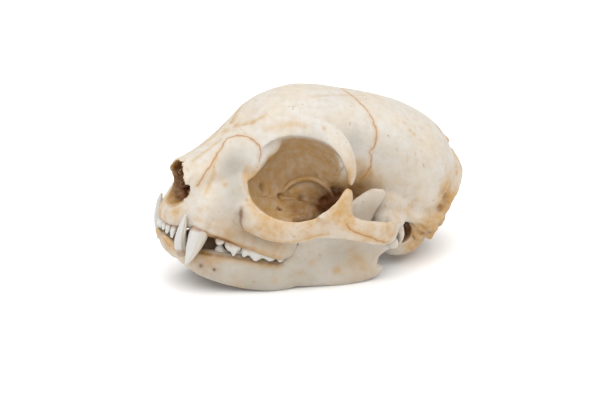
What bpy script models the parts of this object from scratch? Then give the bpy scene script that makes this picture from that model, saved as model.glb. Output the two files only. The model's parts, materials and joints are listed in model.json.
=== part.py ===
"""Wildcat skull with its lower jaw, life size, at rest on the lower edges of the jaw.

Sizes are millimetres in the palate frame until the last section: X to the skull's left, Y from the
front teeth to the back of the head, Z up from the hard palate. The last section tips the nose up to
the rest pose, sets the skull on the floor and turns millimetres into metres.
"""

import math

import bmesh
import bpy
import numpy as np
from mathutils import Matrix, Vector

METRES = 0.001
REST_TILT = math.radians(9.5)  # the nose is raised by this when the jaw's edges lie on the floor
GAP = 0.3  # between neighbouring nodes
VOXEL = 0.6  # grain of the melted bone
CRANIUM_TRIANGLES = 4700
JAW_TRIANGLES = 900
RING = 40  # points round a loft
BLADE_RING = 14  # points round a bar
TOOTH_RING = 8  # points round a tooth
EDGE_ANGLE = math.radians(50)  # edges sharper than this stay crisp

# Each row of a loft: y, half width, height of the widest level, top, bottom
BRAINCASE = [
    (43.0, 13.0, 27.0, 42.0, 15.0),
    (48.0, 16.6, 26.0, 42.0, 12.0),
    (53.0, 17.7, 25.5, 41.6, 9.0),
    (57.5, 18.7, 25.0, 41.0, 7.0),
    (63.0, 21.0, 22.5, 40.4, 5.5),
    (69.0, 22.6, 20.5, 39.5, 4.8),
    (76.0, 22.3, 19.0, 38.1, 4.2),
    (83.0, 20.3, 18.0, 35.6, 4.0),
    (88.0, 17.3, 17.5, 32.5, 4.2),
    (91.5, 13.5, 17.0, 29.2, 6.0),
    (94.5, 8.0, 17.0, 25.0, 10.0),
]
BROW = [
    (4.6, 6.5, 12.5, 17.7, 7.0),
    (8.0, 7.3, 13.0, 19.6, 6.0),
    (12.0, 8.3, 14.0, 22.2, 5.0),
    (18.0, 10.2, 16.0, 27.2, 5.0),
    (23.0, 12.8, 18.0, 32.0, 6.0),
    (27.0, 14.8, 20.0, 36.1, 8.0),
    (31.0, 15.8, 21.0, 38.7, 10.0),
    (37.0, 17.2, 22.0, 40.9, 12.0),
    (43.0, 18.4, 23.0, 42.0, 14.0),
    (48.0, 18.2, 24.0, 42.0, 16.0),
    (53.0, 18.0, 25.5, 41.5, 18.0),
    (57.5, 18.6, 25.0, 40.8, 18.0),
    (62.0, 16.5, 24.0, 37.5, 18.0),
]
MAXILLA = [
    (2.0, 4.8, 1.4, 2.8, -0.6),
    (3.6, 6.8, 2.0, 5.0, -0.9),
    (6.5, 10.0, 3.2, 9.0, -1.0),
    (9.5, 12.0, 4.0, 14.0, -1.0),
    (13.0, 12.4, 4.6, 17.0, -1.2),
    (16.5, 13.8, 5.6, 19.0, -1.6),
    (20.0, 16.4, 7.0, 21.0, -2.0),
    (24.0, 18.6, 6.6, 21.0, -2.6),
    (28.0, 19.8, 4.6, 18.0, -3.2),
    (32.0, 20.0, 3.0, 13.0, -3.2),
    (36.0, 17.6, 2.6, 9.0, -2.8),
    (40.0, 12.0, 3.4, 8.0, -1.2),
    (46.0, 7.0, 4.4, 8.0, 1.6),
]
# Bone in which the upper cheek teeth stand: point on its middle line, half height, half thickness
TOOTH_RIDGE = [
    ((10.8, 9.5, 1.4), 2.6, 1.6),
    ((12.0, 14.0, 1.0), 2.9, 1.7),
    ((13.3, 18.0, 0.4), 3.3, 1.8),
    ((15.0, 22.0, -0.4), 3.7, 1.9),
    ((16.7, 26.0, -1.0), 3.9, 2.0),
    ((18.1, 30.0, -1.7), 4.2, 2.0),
    ((18.9, 32.8, -2.0), 4.4, 1.8),
    ((18.8, 35.2, -1.4), 3.4, 1.4),
]
SKULL_BASE = [
    (26.0, 6.5, 12.0, 26.0, 1.0),
    (36.0, 7.0, 12.0, 28.0, 1.0),
    (44.0, 9.0, 14.0, 32.0, 2.0),
    (50.0, 12.6, 15.0, 34.0, 2.4),
    (56.0, 15.0, 14.0, 30.0, 2.6),
    (66.0, 17.0, 10.0, 20.0, 2.8),
    (78.0, 16.6, 8.0, 18.0, 2.8),
    (88.0, 11.5, 6.0, 16.0, 2.4),
    (91.5, 7.5, 6.0, 12.0, 3.0),
]

# Eye socket: the middle of its rim, half sizes along the rim, and its depth inwards
ORBIT_CENTRE = Vector((20.0, 33.8, 19.0))
ORBIT_LONG = Vector((0.351, 0.913, 0.208))
ORBIT_FACING = Vector((0.739, -0.393, 0.479))
ORBIT_HALF = (14.3, 13.0, 16.0)

# Each row of a bar or blade: point on its middle line, half height, half thickness
# The thick upper front corner of the rim, left standing in the hollow
ORBIT_CORNER = [
    ((12.2, 19.6, 14.8), 1.0, 1.0),
    ((11.9, 20.9, 17.0), 1.7, 1.7),
    ((11.6, 22.5, 18.8), 2.2, 2.2),
    ((11.0, 25.0, 21.7), 2.2, 2.2),
    ((10.4, 26.9, 24.0), 2.2, 2.2),
    ((10.4, 29.3, 25.9), 2.0, 2.0),
    ((10.1, 31.3, 28.2), 1.2, 1.2),
]
# Swelling of the face over the root of the upper canine
CANINE_SWELLING = [
    ((8.9, 13.0, 8.0), 2.4, 2.0),
    ((10.3, 11.0, 3.6), 3.2, 2.4),
    ((11.0, 9.8, 0.6), 3.4, 2.5),
]
ARCH = [
    ((12.5, 19.5, 9.0), 4.0, 2.4),
    ((16.6, 21.8, 7.6), 5.2, 2.9),
    ((20.2, 24.4, 5.9), 4.4, 2.7),
    ((23.4, 27.6, 5.2), 4.1, 2.5),
    ((26.6, 33.0, 5.6), 4.0, 2.1),
    ((29.2, 39.0, 7.8), 3.7, 1.8),
    ((31.0, 44.6, 8.4), 3.9, 1.7),
    ((32.2, 51.0, 7.4), 3.4, 1.7),
    ((32.2, 57.0, 6.6), 3.7, 1.8),
    ((30.9, 60.7, 6.2), 3.6, 1.7),
    ((28.4, 63.6, 6.3), 3.6, 1.8),
    ((23.5, 65.4, 6.8), 3.6, 2.2),
    ((17.5, 66.6, 8.0), 4.0, 3.0),
]
JUGAL_PROCESS = [
    ((30.8, 42.4, 8.8), 6.6, 1.7),
    ((30.3, 43.6, 12.0), 5.2, 1.6),
    ((29.9, 44.9, 15.0), 3.4, 1.5),
    ((29.6, 45.9, 17.6), 2.0, 1.3),
    ((29.4, 46.4, 19.4), 1.0, 0.9),
]
FRONTAL_PROCESS = [
    ((11.0, 39.0, 31.0), 5.5, 3.5),
    ((16.5, 42.5, 31.4), 4.6, 2.8),
    ((21.0, 45.6, 29.2), 3.7, 2.2),
    ((23.9, 47.8, 26.0), 2.5, 1.7),
    ((25.0, 48.7, 22.8), 1.7, 1.3),
    ((25.2, 48.9, 20.6), 1.2, 1.0),
    ((25.2, 48.8, 19.0), 0.8, 0.7),
]
NUCHAL_CREST = [
    ((0.0, 95.9, 23.0), 3.5, 1.9),
    ((5.5, 95.7, 20.8), 3.5, 1.9),
    ((10.5, 93.2, 17.3), 3.4, 1.9),
    ((14.6, 89.4, 13.4), 3.1, 1.9),
    ((16.8, 86.0, 9.2), 3.0, 2.1),
    ((17.6, 83.2, 5.2), 3.0, 2.6),
    ((17.2, 80.8, 2.4), 2.4, 2.6),
]
SAGITTAL_CREST = [
    ((0.0, 78.0, 35.6), 1.2, 1.3),
    ((0.0, 85.0, 32.6), 1.2, 1.2),
    ((0.0, 90.5, 29.2), 1.3, 1.2),
    ((0.0, 94.8, 25.2), 2.0, 1.6),
]
EAR_RIDGE = [
    ((22.5, 65.6, 8.4), 2.0, 2.0),
    ((21.4, 70.2, 8.8), 2.1, 2.0),
    ((20.0, 75.5, 7.8), 2.3, 2.1),
    ((18.2, 81.0, 5.8), 2.7, 2.4),
    ((17.0, 84.6, 4.4), 2.6, 2.4),
]
POSTGLENOID = [
    ((15.0, 69.6, 3.4), 4.2, 1.4),
    ((18.5, 69.9, 2.2), 4.6, 1.3),
    ((22.0, 69.8, 3.2), 3.6, 1.2),
    ((24.6, 69.4, 4.6), 1.6, 1.0),
]
PTERYGOID = [
    ((6.4, 39.0, 2.0), 3.4, 1.4),
    ((6.2, 45.0, 1.0), 3.6, 1.2),
    ((5.8, 51.0, 0.6), 3.4, 1.1),
    ((5.8, 57.0, 2.4), 2.2, 1.1),
]

# Ear capsule under the base, and the hole of the outer ear
BULLA_CENTRE = Vector((12.4, 76.0, -0.3))
BULLA_HALF = (6.2, 9.6, 7.0)
BULLA_TURN = Matrix.Rotation(math.radians(12.0), 4, "Z")
EAR_HOLE = Vector((19.2, 73.0, 1.4))
EAR_HOLE_HALF = (5.5, 1.9, 3.4)

UPPER_CANINE = [
    ((8.8, 13.0, 7.0), 2.4, 1.9),
    ((10.2, 10.8, 2.6), 2.9, 2.1),
    ((11.0, 9.3, -0.8), 3.0, 2.0),
    ((11.6, 8.2, -4.0), 2.5, 1.7),
    ((11.8, 7.2, -7.4), 1.5, 1.15),
    ((11.6, 6.3, -10.4), 0.35, 0.35),
]
LOWER_CANINE = [
    ((6.4, 8.6, -10.4), 1.8, 1.5),
    ((7.4, 6.4, -7.2), 2.0, 1.6),
    ((8.3, 5.1, -4.4), 1.9, 1.5),
    ((9.2, 4.6, -1.2), 1.5, 1.2),
    ((9.8, 4.6, 2.0), 1.0, 0.9),
    ((10.0, 4.9, 4.7), 0.35, 0.35),
]
# Room cut into the muzzle for the lower canine: the tooth's own rows and this much round it
CANINE_CLEARANCE = 0.55

# Each row of a cheek tooth's crown: y, x, height of its edge, half thickness
UPPER_CHEEK_TEETH = [
    [(14.4, 12.2, -2.8, 0.6), (15.3, 12.3, -3.9, 0.9), (16.3, 12.5, -3.8, 0.9), (17.1, 12.7, -2.9, 0.6)],
    [
        (17.2, 13.0, -3.8, 0.7), (18.2, 13.4, -5.4, 1.1), (19.1, 13.6, -5.9, 1.2), (20.1, 13.8, -7.4, 1.2),
        (21.0, 14.1, -5.8, 1.1), (21.8, 14.4, -4.6, 0.7),
    ],
    [
        (21.9, 14.6, -4.8, 0.8), (22.8, 15.0, -7.2, 1.2), (24.2, 15.6, -6.4, 1.3), (26.6, 16.4, -8.3, 1.4),
        (28.3, 17.0, -7.0, 1.3), (30.2, 17.5, -7.9, 1.2), (31.9, 18.0, -6.6, 0.8),
    ],
    [(32.1, 18.2, -6.2, 0.7), (33.2, 18.6, -7.2, 0.9), (34.4, 18.8, -6.2, 0.7)],
]
LOWER_CHEEK_TEETH = [
    [(15.8, 9.5, -6.4, 0.6), (17.4, 9.9, -4.4, 0.9), (18.6, 10.3, -5.8, 0.9), (20.2, 10.8, -6.6, 0.6)],
    [(20.4, 10.9, -6.4, 0.7), (22.4, 11.6, -3.9, 1.0), (24.0, 12.1, -5.6, 1.0), (26.0, 12.7, -6.6, 0.7)],
    [
        (26.2, 12.7, -6.2, 0.8), (28.2, 13.3, -3.8, 1.1), (29.8, 13.8, -5.4, 1.1), (31.4, 14.3, -3.8, 1.1),
        (33.4, 14.9, -6.6, 0.8),
    ],
]
UPPER_ROOT = -1.0
LOWER_ROOT = -10.0
# Each front tooth of one side: x, y, tip height, half width
UPPER_INCISORS = [(1.15, 2.6, -3.0, 0.9), (3.2, 3.0, -3.3, 0.95), (5.3, 3.8, -3.9, 1.1)]

# Vault of the palate between the tooth rows: y, half width, height of the widest level, top, bottom
PALATE_VAULT = [
    (11.0, 5.0, -7.0, -1.4, -16.0),
    (14.0, 9.4, -7.0, -0.6, -16.0),
    (18.0, 11.4, -7.0, -0.5, -16.0),
    (23.0, 13.2, -7.0, -0.4, -16.0),
    (28.0, 15.0, -7.0, -0.3, -16.0),
    (32.5, 16.7, -7.0, -0.3, -16.0),
    (38.0, 18.6, -7.0, -0.6, -16.0),
]

# Each row of the jaw's body: y, x of its middle, half thickness, bottom, top
JAW_BODY = [
    (2.0, 1.9, 1.3, -5.0, -3.9),
    (3.0, 2.7, 2.1, -6.4, -4.3),
    (4.6, 3.7, 3.0, -8.2, -5.0),
    (7.0, 4.9, 3.3, -10.6, -6.4),
    (9.8, 6.3, 2.9, -12.9, -7.0),
    (13.0, 7.8, 2.8, -14.8, -7.2),
    (18.0, 9.9, 2.9, -16.4, -7.6),
    (24.0, 12.2, 2.9, -17.3, -8.0),
    (31.0, 14.8, 2.9, -17.5, -8.3),
    (36.0, 16.5, 2.7, -16.8, -7.2),
    (39.0, 17.5, 2.5, -16.2, -4.0),
    (43.0, 18.5, 2.3, -15.4, -1.4),
    (48.0, 19.8, 1.9, -14.6, 0.0),
    (54.0, 21.0, 1.7, -13.7, 0.0),
    (60.0, 21.8, 1.5, -12.7, 0.0),
    (63.6, 22.0, 1.3, -11.7, -1.6),
]
# Each row of the coronoid plate: z, x, y of its middle, half length, half thickness
CORONOID = [
    (-8.0, 20.2, 50.3, 13.6, 1.6),
    (-4.0, 20.6, 50.4, 13.9, 1.7),
    (-1.0, 21.2, 50.8, 12.6, 1.6),
    (1.0, 21.6, 51.6, 10.4, 1.5),
    (3.0, 22.0, 53.0, 7.8, 1.4),
    (6.5, 22.4, 53.4, 5.9, 1.3),
    (10.0, 22.8, 54.8, 5.0, 1.2),
    (13.0, 23.0, 56.4, 4.8, 1.2),
    (15.6, 23.1, 58.4, 3.9, 1.1),
    (17.4, 23.1, 59.6, 2.2, 0.9),
]
CORONOID_SPLAY = 0.12  # how far the plate turns outwards for each millimetre backwards
CONDYLE = [
    ((18.4, 67.2, 0.6), 1.6, 1.6),
    ((21.0, 66.8, 1.0), 2.0, 2.0),
    ((24.5, 66.4, 1.2), 2.0, 2.0),
    ((27.0, 66.0, 1.1), 1.3, 1.4),
]
CONDYLE_NECK = [
    ((21.4, 56.0, -3.0), 5.0, 1.5),
    ((21.9, 60.5, -2.2), 4.0, 1.5),
    ((22.4, 63.6, -0.8), 2.8, 1.7),
    ((22.8, 66.0, 0.6), 1.9, 1.8),
]
ANGULAR_PROCESS = [
    ((21.4, 58.0, -9.8), 2.8, 1.5),
    ((21.7, 62.0, -9.3), 2.4, 1.5),
    ((21.9, 64.6, -8.4), 1.9, 1.3),
    ((22.0, 66.0, -7.4), 0.9, 0.8),
]

# Thin cuts along the seams of the bones. Each row of the first three: y, z, half width of the cut
FACE_SEAM = [
    (17.0, 46.0, 30.0),
    (20.5, 30.0, 24.0),
    (23.6, 26.0, 22.0),
    (24.2, 22.5, 21.0),
    (22.6, 18.5, 21.0),
    (21.6, 14.5, 21.0),
    (24.5, 11.2, 20.5),
    (30.0, 9.6, 20.5),
    (38.0, 8.8, 20.5),
    (48.0, 8.4, 20.5),
]
CROWN_SEAM = [
    (55.6, 46.0, 25.0),
    (56.4, 40.8, 25.0),
    (58.2, 35.0, 25.0),
    (58.8, 29.0, 25.0),
    (57.8, 22.0, 25.0),
    (56.6, 16.0, 25.0),
    (52.0, 11.0, 25.0),
    (48.0, 8.4, 25.0),
    (46.4, 4.0, 25.0),
    (46.0, -8.0, 25.0),
]
NAPE_SEAM = [
    (88.5, 46.0, 30.0),
    (89.4, 32.0, 30.0),
    (90.2, 24.0, 30.0),
    (88.4, 18.0, 30.0),
    (85.0, 12.0, 30.0),
    (83.4, 6.0, 30.0),
    (83.2, -8.0, 30.0),
]
# Seen from above, where the arch leaves the face and the side of the head: x, y
ARCH_FRONT_SEAM = [(27.0, 12.0), (21.9, 20.5), (21.2, 25.0), (21.8, 31.0), (22.0, 44.0)]
ARCH_BACK_SEAM = [(24.6, 54.0), (25.4, 62.0), (25.6, 78.0)]
ARCH_SEAM_HEIGHT = (-12.0, 15.0)

# A point near the middle of each node that the cuts leave
CRANIUM_NODES = {
    "muzzle": (0.0, 17.0, 8.0),
    "frontal": (0.0, 40.0, 26.0),
    "braincase": (0.0, 70.0, 21.0),
    "occiput": (0.0, 90.5, 15.0),
    "zygomatic_arch_left": (28.0, 44.0, 9.0),
    "zygomatic_arch_right": (-28.0, 44.0, 9.0),
}


def clear_scene():
    for thing in list(bpy.data.objects):
        bpy.data.objects.remove(thing)


def object_of(name, shape):
    """A scene object from a bmesh, which is used up."""
    mesh = bpy.data.meshes.new(name)
    shape.to_mesh(mesh)
    shape.free()
    made = bpy.data.objects.new(name, mesh)
    bpy.context.scene.collection.objects.link(made)
    return made


def eased(rows, count):
    """The rows read at even steps of their first value, on a curve that never overshoots a row."""
    rows = np.array(rows, float)
    key = rows[:, 0]
    width = np.diff(key)
    slope = np.diff(rows, axis=0) / width[:, None]
    tangent = np.zeros_like(rows)
    tangent[0] = slope[0]
    tangent[-1] = slope[-1]
    before, after = slope[:-1], slope[1:]
    same = before * after > 0
    mean = 2 * before * after / np.where(same, before + after, 1.0)
    tangent[1:-1] = np.where(same, mean, 0.0)
    made = []
    for at in np.linspace(key[0], key[-1], count):
        i = min(np.searchsorted(key, at, side="right") - 1, len(width) - 1)
        t = (at - key[i]) / width[i]
        h00 = 2 * t**3 - 3 * t**2 + 1
        h10 = t**3 - 2 * t**2 + t
        h01 = 3 * t**2 - 2 * t**3
        h11 = t**3 - t**2
        ends = h00 * rows[i] + h01 * rows[i + 1]
        made.append(ends + width[i] * (h10 * tangent[i] + h11 * tangent[i + 1]))
    return np.array(made)


def skin(name, rings):
    """A closed mesh over rings of points, with a point at the middle of each end."""
    shape = bmesh.new()
    loops = [[shape.verts.new(p) for p in ring] for ring in rings]
    count = len(rings[0])
    for low, high in zip(loops, loops[1:]):
        for i in range(count):
            j = (i + 1) % count
            shape.faces.new((low[i], low[j], high[j], high[i]))
    for loop in (loops[0], loops[-1]):
        middle = shape.verts.new(sum((v.co for v in loop), Vector()) / count)
        for i in range(count):
            shape.faces.new((loop[i], loop[(i + 1) % count], middle))
    bmesh.ops.recalc_face_normals(shape, faces=shape.faces)
    if shape.calc_volume(signed=True) < 0:
        bmesh.ops.reverse_faces(shape, faces=shape.faces)
    return object_of(name, shape)


def signed_power(value, power):
    return math.copysign(abs(value) ** power, value)


def loft(name, rows, upper=2.2, lower=2.4, steps=44):
    """A body along Y whose sections are superellipses, rounder or squarer above and below."""
    rings = []
    for y, half_width, widest, top, bottom in eased(rows, steps):
        ring = []
        for i in range(RING):
            angle = math.tau * i / RING
            power = 2.0 / (upper if math.sin(angle) > 0 else lower)
            reach = top - widest if math.sin(angle) > 0 else widest - bottom
            x = half_width * signed_power(math.cos(angle), power)
            ring.append((x, y, widest + reach * signed_power(math.sin(angle), power)))
        rings.append(ring)
    return skin(name, rings)


def blade(name, rows, thin=(1, 0, 0), steps=26, points=BLADE_RING):
    """A bar along a curved middle line, with oval sections that are thin along one direction."""
    length = [0.0]
    for one, two in zip(rows, rows[1:]):
        length.append(length[-1] + (Vector(two[0]) - Vector(one[0])).length)
    line = eased([(at, *point, tall, slim) for at, (point, tall, slim) in zip(length, rows)], steps)
    rings = []
    for i, (_, x, y, z, tall, slim) in enumerate(line):
        along = Vector(line[min(i + 1, steps - 1)][1:4]) - Vector(line[max(i - 1, 0)][1:4])
        along.normalize()
        side = Vector(thin) - along * along.dot(Vector(thin))
        side.normalize()
        rise = along.cross(side)
        rings.append(ring_of(Vector((x, y, z)), side, rise, slim, tall, points))
    return skin(name, rings)


def egg(name, centre, half, turn=Matrix(), round=36, levels=24):
    """An ellipsoid with its own axes turned."""
    shape = bmesh.new()
    place = Matrix.Translation(centre) @ turn @ Matrix.Diagonal((*half, 1.0))
    bmesh.ops.create_uvsphere(shape, u_segments=round, v_segments=levels, radius=1.0, matrix=place)
    return object_of(name, shape)


def block(name, low, high):
    shape = bmesh.new()
    bmesh.ops.create_cube(shape, size=1.0)
    low, high = Vector(low), Vector(high)
    for v in shape.verts:
        v.co = Vector((low[k] + (v.co[k] + 0.5) * (high[k] - low[k]) for k in range(3)))
    return object_of(name, shape)


def mirrored(thing, name):
    """The same shape on the skull's right."""
    made = bpy.data.objects.new(name, thing.data.copy())
    bpy.context.scene.collection.objects.link(made)
    made.data.transform(Matrix.Diagonal((-1.0, 1.0, 1.0, 1.0)))
    made.data.flip_normals()
    return made


def both(thing):
    return [thing, mirrored(thing, thing.name + "_mirror")]


def gathered(name, things):
    """One object that holds the meshes of several, still as separate shells."""
    shape = bmesh.new()
    for thing in things:
        shape.from_mesh(thing.data)
    for thing in things:
        bpy.data.objects.remove(thing)
    return object_of(name, shape)


def settled(thing):
    """Turns the object's modifiers into plain mesh."""
    graph = bpy.context.evaluated_depsgraph_get()
    mesh = bpy.data.meshes.new_from_object(thing.evaluated_get(graph))
    thing.modifiers.clear()
    thing.data = mesh
    return thing


def fused(thing, smoothing, voxel=VOXEL):
    """Melts overlapping shells into one closed skin and softens it."""
    melt = thing.modifiers.new("melt", "REMESH")
    melt.mode = "VOXEL"
    melt.voxel_size = voxel
    soften = thing.modifiers.new("soften", "SMOOTH")
    soften.factor = 0.5
    soften.iterations = smoothing
    return settled(thing)


def boolean(thing, others, operation, solver="EXACT"):
    for other in others:
        step = thing.modifiers.new(operation.lower(), "BOOLEAN")
        step.operation = operation
        step.solver = solver
        step.object = other
        settled(thing)
    for other in others:
        bpy.data.objects.remove(other)
    return thing


def thinned(thing, triangles):
    """Fewer faces, the same on both sides of the middle."""
    thing.data.calc_loop_triangles()
    step = thing.modifiers.new("thin", "DECIMATE")
    step.ratio = min(1.0, triangles / len(thing.data.loop_triangles))
    step.use_collapse_triangulate = True
    return settled(thing)


def largest(thing):
    """Keeps the largest closed surface and drops scraps."""
    shape = bmesh.new()
    shape.from_mesh(thing.data)
    left = set(shape.faces)
    shells = []
    while left:
        stack = [left.pop()]
        shell = list(stack)
        while stack:
            face = stack.pop()
            for edge in face.edges:
                for near in edge.link_faces:
                    if near in left:
                        left.discard(near)
                        shell.append(near)
                        stack.append(near)
        shells.append(shell)
    shells.sort(key=lambda shell: sum(face.calc_area() for face in shell), reverse=True)
    scraps = [face for shell in shells[1:] for face in shell]
    bmesh.ops.delete(shape, geom=scraps, context="FACES")
    shape.to_mesh(thing.data)
    shape.free()
    return thing


def ring_of(middle, side, rise, slim, tall, points):
    turn = [math.tau * k / points for k in range(points)]
    return [middle + side * slim * math.cos(a) + rise * tall * math.sin(a) for a in turn]


def cut_sheet(name, line, upright=False):
    """A sheet as thin as the gap between nodes, along a line of points.

    Rows (y, z, half width) reach across the skull, rows (x, y) stand upright beside it.
    """
    flat = [Vector((row[0], row[1])) for row in line]
    rings = []
    for i, point in enumerate(flat):
        along = (flat[min(i + 1, len(flat) - 1)] - flat[max(i - 1, 0)]).normalized()
        off = Vector((-along.y, along.x)) * GAP / 2
        near, far = point - off, point + off
        if upright:
            low, high = ARCH_SEAM_HEIGHT
            rings.append([(*near, low), (*far, low), (*far, high), (*near, high)])
        else:
            reach = line[i][2]
            rings.append([(-reach, *near), (-reach, *far), (reach, *far), (reach, *near)])
    return skin(name, [[Vector(point) for point in ring] for ring in rings])


def symmetric(thing):
    """The left half and its exact mirror image."""
    step = thing.modifiers.new("mirror", "MIRROR")
    step.use_axis = (True, False, False)
    step.use_bisect_axis = (True, False, False)
    step.merge_threshold = 0.0001
    return settled(thing)


def parted(thing, anchors):
    """One object for each named point, made of the loose shell whose middle lies nearest to it."""
    shape = bmesh.new()
    shape.from_mesh(thing.data)
    left = set(shape.faces)
    shells = []
    while left:
        stack = [left.pop()]
        shell = list(stack)
        while stack:
            for edge in stack.pop().edges:
                for near in edge.link_faces:
                    if near in left:
                        left.discard(near)
                        shell.append(near)
                        stack.append(near)
        points = [face.calc_center_median() for face in shell]
        low = Vector(min(point[k] for point in points) for k in range(3))
        high = Vector(max(point[k] for point in points) for k in range(3))
        if len(shell) > 60:
            shells.append(((low + high) / 2, shell))
    made = {}
    for name, anchor in anchors.items():
        _, shell = min(shells, key=lambda entry: (entry[0] - Vector(anchor)).length)
        corners = {}
        own = bmesh.new()
        for face in shell:
            for vert in face.verts:
                if vert.index not in corners:
                    corners[vert.index] = own.verts.new(vert.co)
            own.faces.new([corners[vert.index] for vert in face.verts])
        made[name] = object_of(name, own)
    shape.free()
    bpy.data.objects.remove(thing)
    return made


def orbit_turn():
    rise = ORBIT_FACING.cross(ORBIT_LONG).normalized()
    along = rise.cross(ORBIT_FACING).normalized()
    return Matrix((along, rise, ORBIT_FACING.normalized())).transposed().to_4x4()


def crown(name, rows, root):
    """A cheek tooth: a blade with a jagged edge, rooted in the bone."""
    rings = []
    for y, x, edge, half in rows:
        reach = edge - root
        side = [(0.9, 0.0), (1.0, 0.55), (0.62, 0.85), (0.16, 1.0)]
        ring = [Vector((x + half * wide, y, root + reach * deep)) for wide, deep in side]
        ring += [Vector((x - half * wide, y, root + reach * deep)) for wide, deep in reversed(side)]
        rings.append(ring)
    return skin(name, rings)


def incisor(name, row):
    """A small peg with a straight edge, rooted in the front of the upper jaw."""
    x, y, tip, half_width = row
    rows = [
        ((x, y + 0.9, 1.4), 0.9, half_width * 0.7),
        ((x, y, -1.4), 0.95, half_width),
        ((x, y - 0.5, tip), 0.3, half_width * 0.8),
    ]
    return blade(name, rows, steps=4, points=TOOTH_RING)


def cranium_masses():
    """The rounded masses of the skull that melt into one another."""
    masses = [
        loft("braincase_mass", BRAINCASE, upper=2.4, lower=2.8),
        loft("brow_mass", BROW, upper=2.3),
        loft("maxilla_mass", MAXILLA, lower=3.0),
        loft("base_mass", SKULL_BASE),
        blade("sagittal_mass", SAGITTAL_CREST),
    ]
    masses += both(blade("arch_mass", ARCH, steps=60))
    masses += both(blade("tooth_ridge_mass", TOOTH_RIDGE))
    masses += both(blade("canine_swelling_mass", CANINE_SWELLING))
    masses += both(egg("socket_floor_mass", (10.0, 40.5, 5.4), (5.2, 9.0, 3.8)))
    masses += both(blade("jugal_mass", JUGAL_PROCESS))
    masses += both(blade("frontal_process_mass", FRONTAL_PROCESS))
    masses += both(blade("crest_mass", NUCHAL_CREST, thin=(0.2, 0.6, 0.8)))
    masses += both(blade("ear_ridge_mass", EAR_RIDGE))
    masses += both(blade("postglenoid_mass", POSTGLENOID, thin=(0, 1, 0)))
    masses += both(blade("pterygoid_mass", PTERYGOID))
    masses += both(egg("shelf_mass", (20.0, 65.6, 7.8), (6.8, 4.8, 2.8)))
    masses += both(egg("mastoid_mass", (16.4, 79.8, 4.4), (4.2, 5.2, 5.6)))
    masses += both(egg("paroccipital_mass", (12.8, 86.0, 1.6), (3.2, 2.6, 3.6)))
    masses += both(egg("condyle_mass", (6.4, 91.8, 3.2), (2.9, 3.2, 4.2)))
    return masses


def cranium_hollows():
    """Eye sockets, nose, throat, spinal hole, palate vault, jaw sockets and the holes below the eyes."""
    orbit = egg("orbit_cut", ORBIT_CENTRE, ORBIT_HALF, orbit_turn())
    boolean(orbit, [blade("orbit_corner", ORBIT_CORNER)], "DIFFERENCE")
    hollows = both(orbit)
    nose_tilt = Matrix.Rotation(math.radians(30), 4, "X")
    hollows.append(egg("nose_cut", (0, 5.2, 11.4), (6.0, 8.8, 6.0), nose_tilt))
    hollows.append(egg("nose_side_cut", (0, 5.0, 10.8), (7.6, 3.4, 4.0)))
    hollows.append(egg("spinal_cut", (0, 94.4, 6.2), (5.2, 7.0, 4.4)))
    hollows.append(egg("throat_cut", (0, 51.0, 0.0), (4.6, 12.0, 5.4)))
    hollows.append(loft("palate_cut", PALATE_VAULT, upper=4.5))
    hollows += both(egg("jaw_socket_cut", (22.6, 66.5, 0.4), (8.2, 3.2, 3.8)))
    passage = [((14.8, 15.5, 5.4), 1.8, 1.2), ((16.9, 21.0, 6.6), 1.6, 1.1), ((17.6, 27.0, 8.6), 1.5, 1.1)]
    hollows += both(blade("cheek_passage_cut", passage, steps=6))
    return hollows


def mandible():
    """The left half of the lower jaw with its teeth."""
    rows = [((x, y, (low + high) / 2), (high - low) / 2, half) for y, x, half, low, high in JAW_BODY]
    plate = []
    backward = Vector((CORONOID_SPLAY, 1, 0))
    for z, x, y, half_length, half in eased(CORONOID, 24):
        plate.append(ring_of(Vector((x, y, z)), Vector((1, 0, 0)), backward, half, half_length, 16))
    masses = [
        blade("jaw_body", rows, steps=60),
        skin("coronoid", plate),
        blade("jaw_condyle", CONDYLE, thin=(0, 1, 0)),
        blade("jaw_neck", CONDYLE_NECK),
        blade("jaw_angle", ANGULAR_PROCESS),
        egg("chin", (1.2, 6.8, -8.2), (2.8, 4.9, 3.1), Matrix.Rotation(math.radians(-40), 4, "X")),
    ]
    jaw = fused(gathered("mandible_left", masses), smoothing=4, voxel=0.5)
    splay = Matrix.Rotation(math.radians(-8), 4, "Z")
    hollows = [
        egg("masseter_cut", (25.6, 51.6, -4.6), (4.0, 11.6, 7.4), splay),
        block("middle_cut", (-8, -8, -30), (GAP / 2, 30, 10)),
    ]
    boolean(jaw, hollows, "DIFFERENCE")
    thinned(jaw, JAW_TRIANGLES)
    teeth = [blade("lower_canine", LOWER_CANINE, steps=7, points=TOOTH_RING)]
    teeth += [crown("lower_cheek_tooth", rows, LOWER_ROOT) for rows in LOWER_CHEEK_TEETH]
    boolean(jaw, teeth, "UNION")
    return largest(jaw)


def add_upper_teeth(muzzle):
    teeth = both(blade("upper_canine", UPPER_CANINE, steps=7, points=TOOTH_RING))
    for rows in UPPER_CHEEK_TEETH:
        teeth += both(crown("upper_cheek_tooth", rows, UPPER_ROOT))
    for row in UPPER_INCISORS:
        teeth += both(incisor("incisor", row))
    boolean(muzzle, teeth, "UNION")


def canine_rooms():
    """Notches at the sides of the muzzle in which the lower canines stand free."""
    rooms = []
    for outward in (0.0, 1.4):
        rows = [
            ((x + outward, y, z), tall + CANINE_CLEARANCE, slim + CANINE_CLEARANCE)
            for (x, y, z), tall, slim in LOWER_CANINE
        ]
        tip, tall, slim = rows[-1]
        rows.append(((tip[0], tip[1] + 0.1, tip[2] + CANINE_CLEARANCE), 0.5, 0.5))
        rooms += both(blade("canine_room", rows, steps=8, points=TOOTH_RING))
    return rooms


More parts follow.
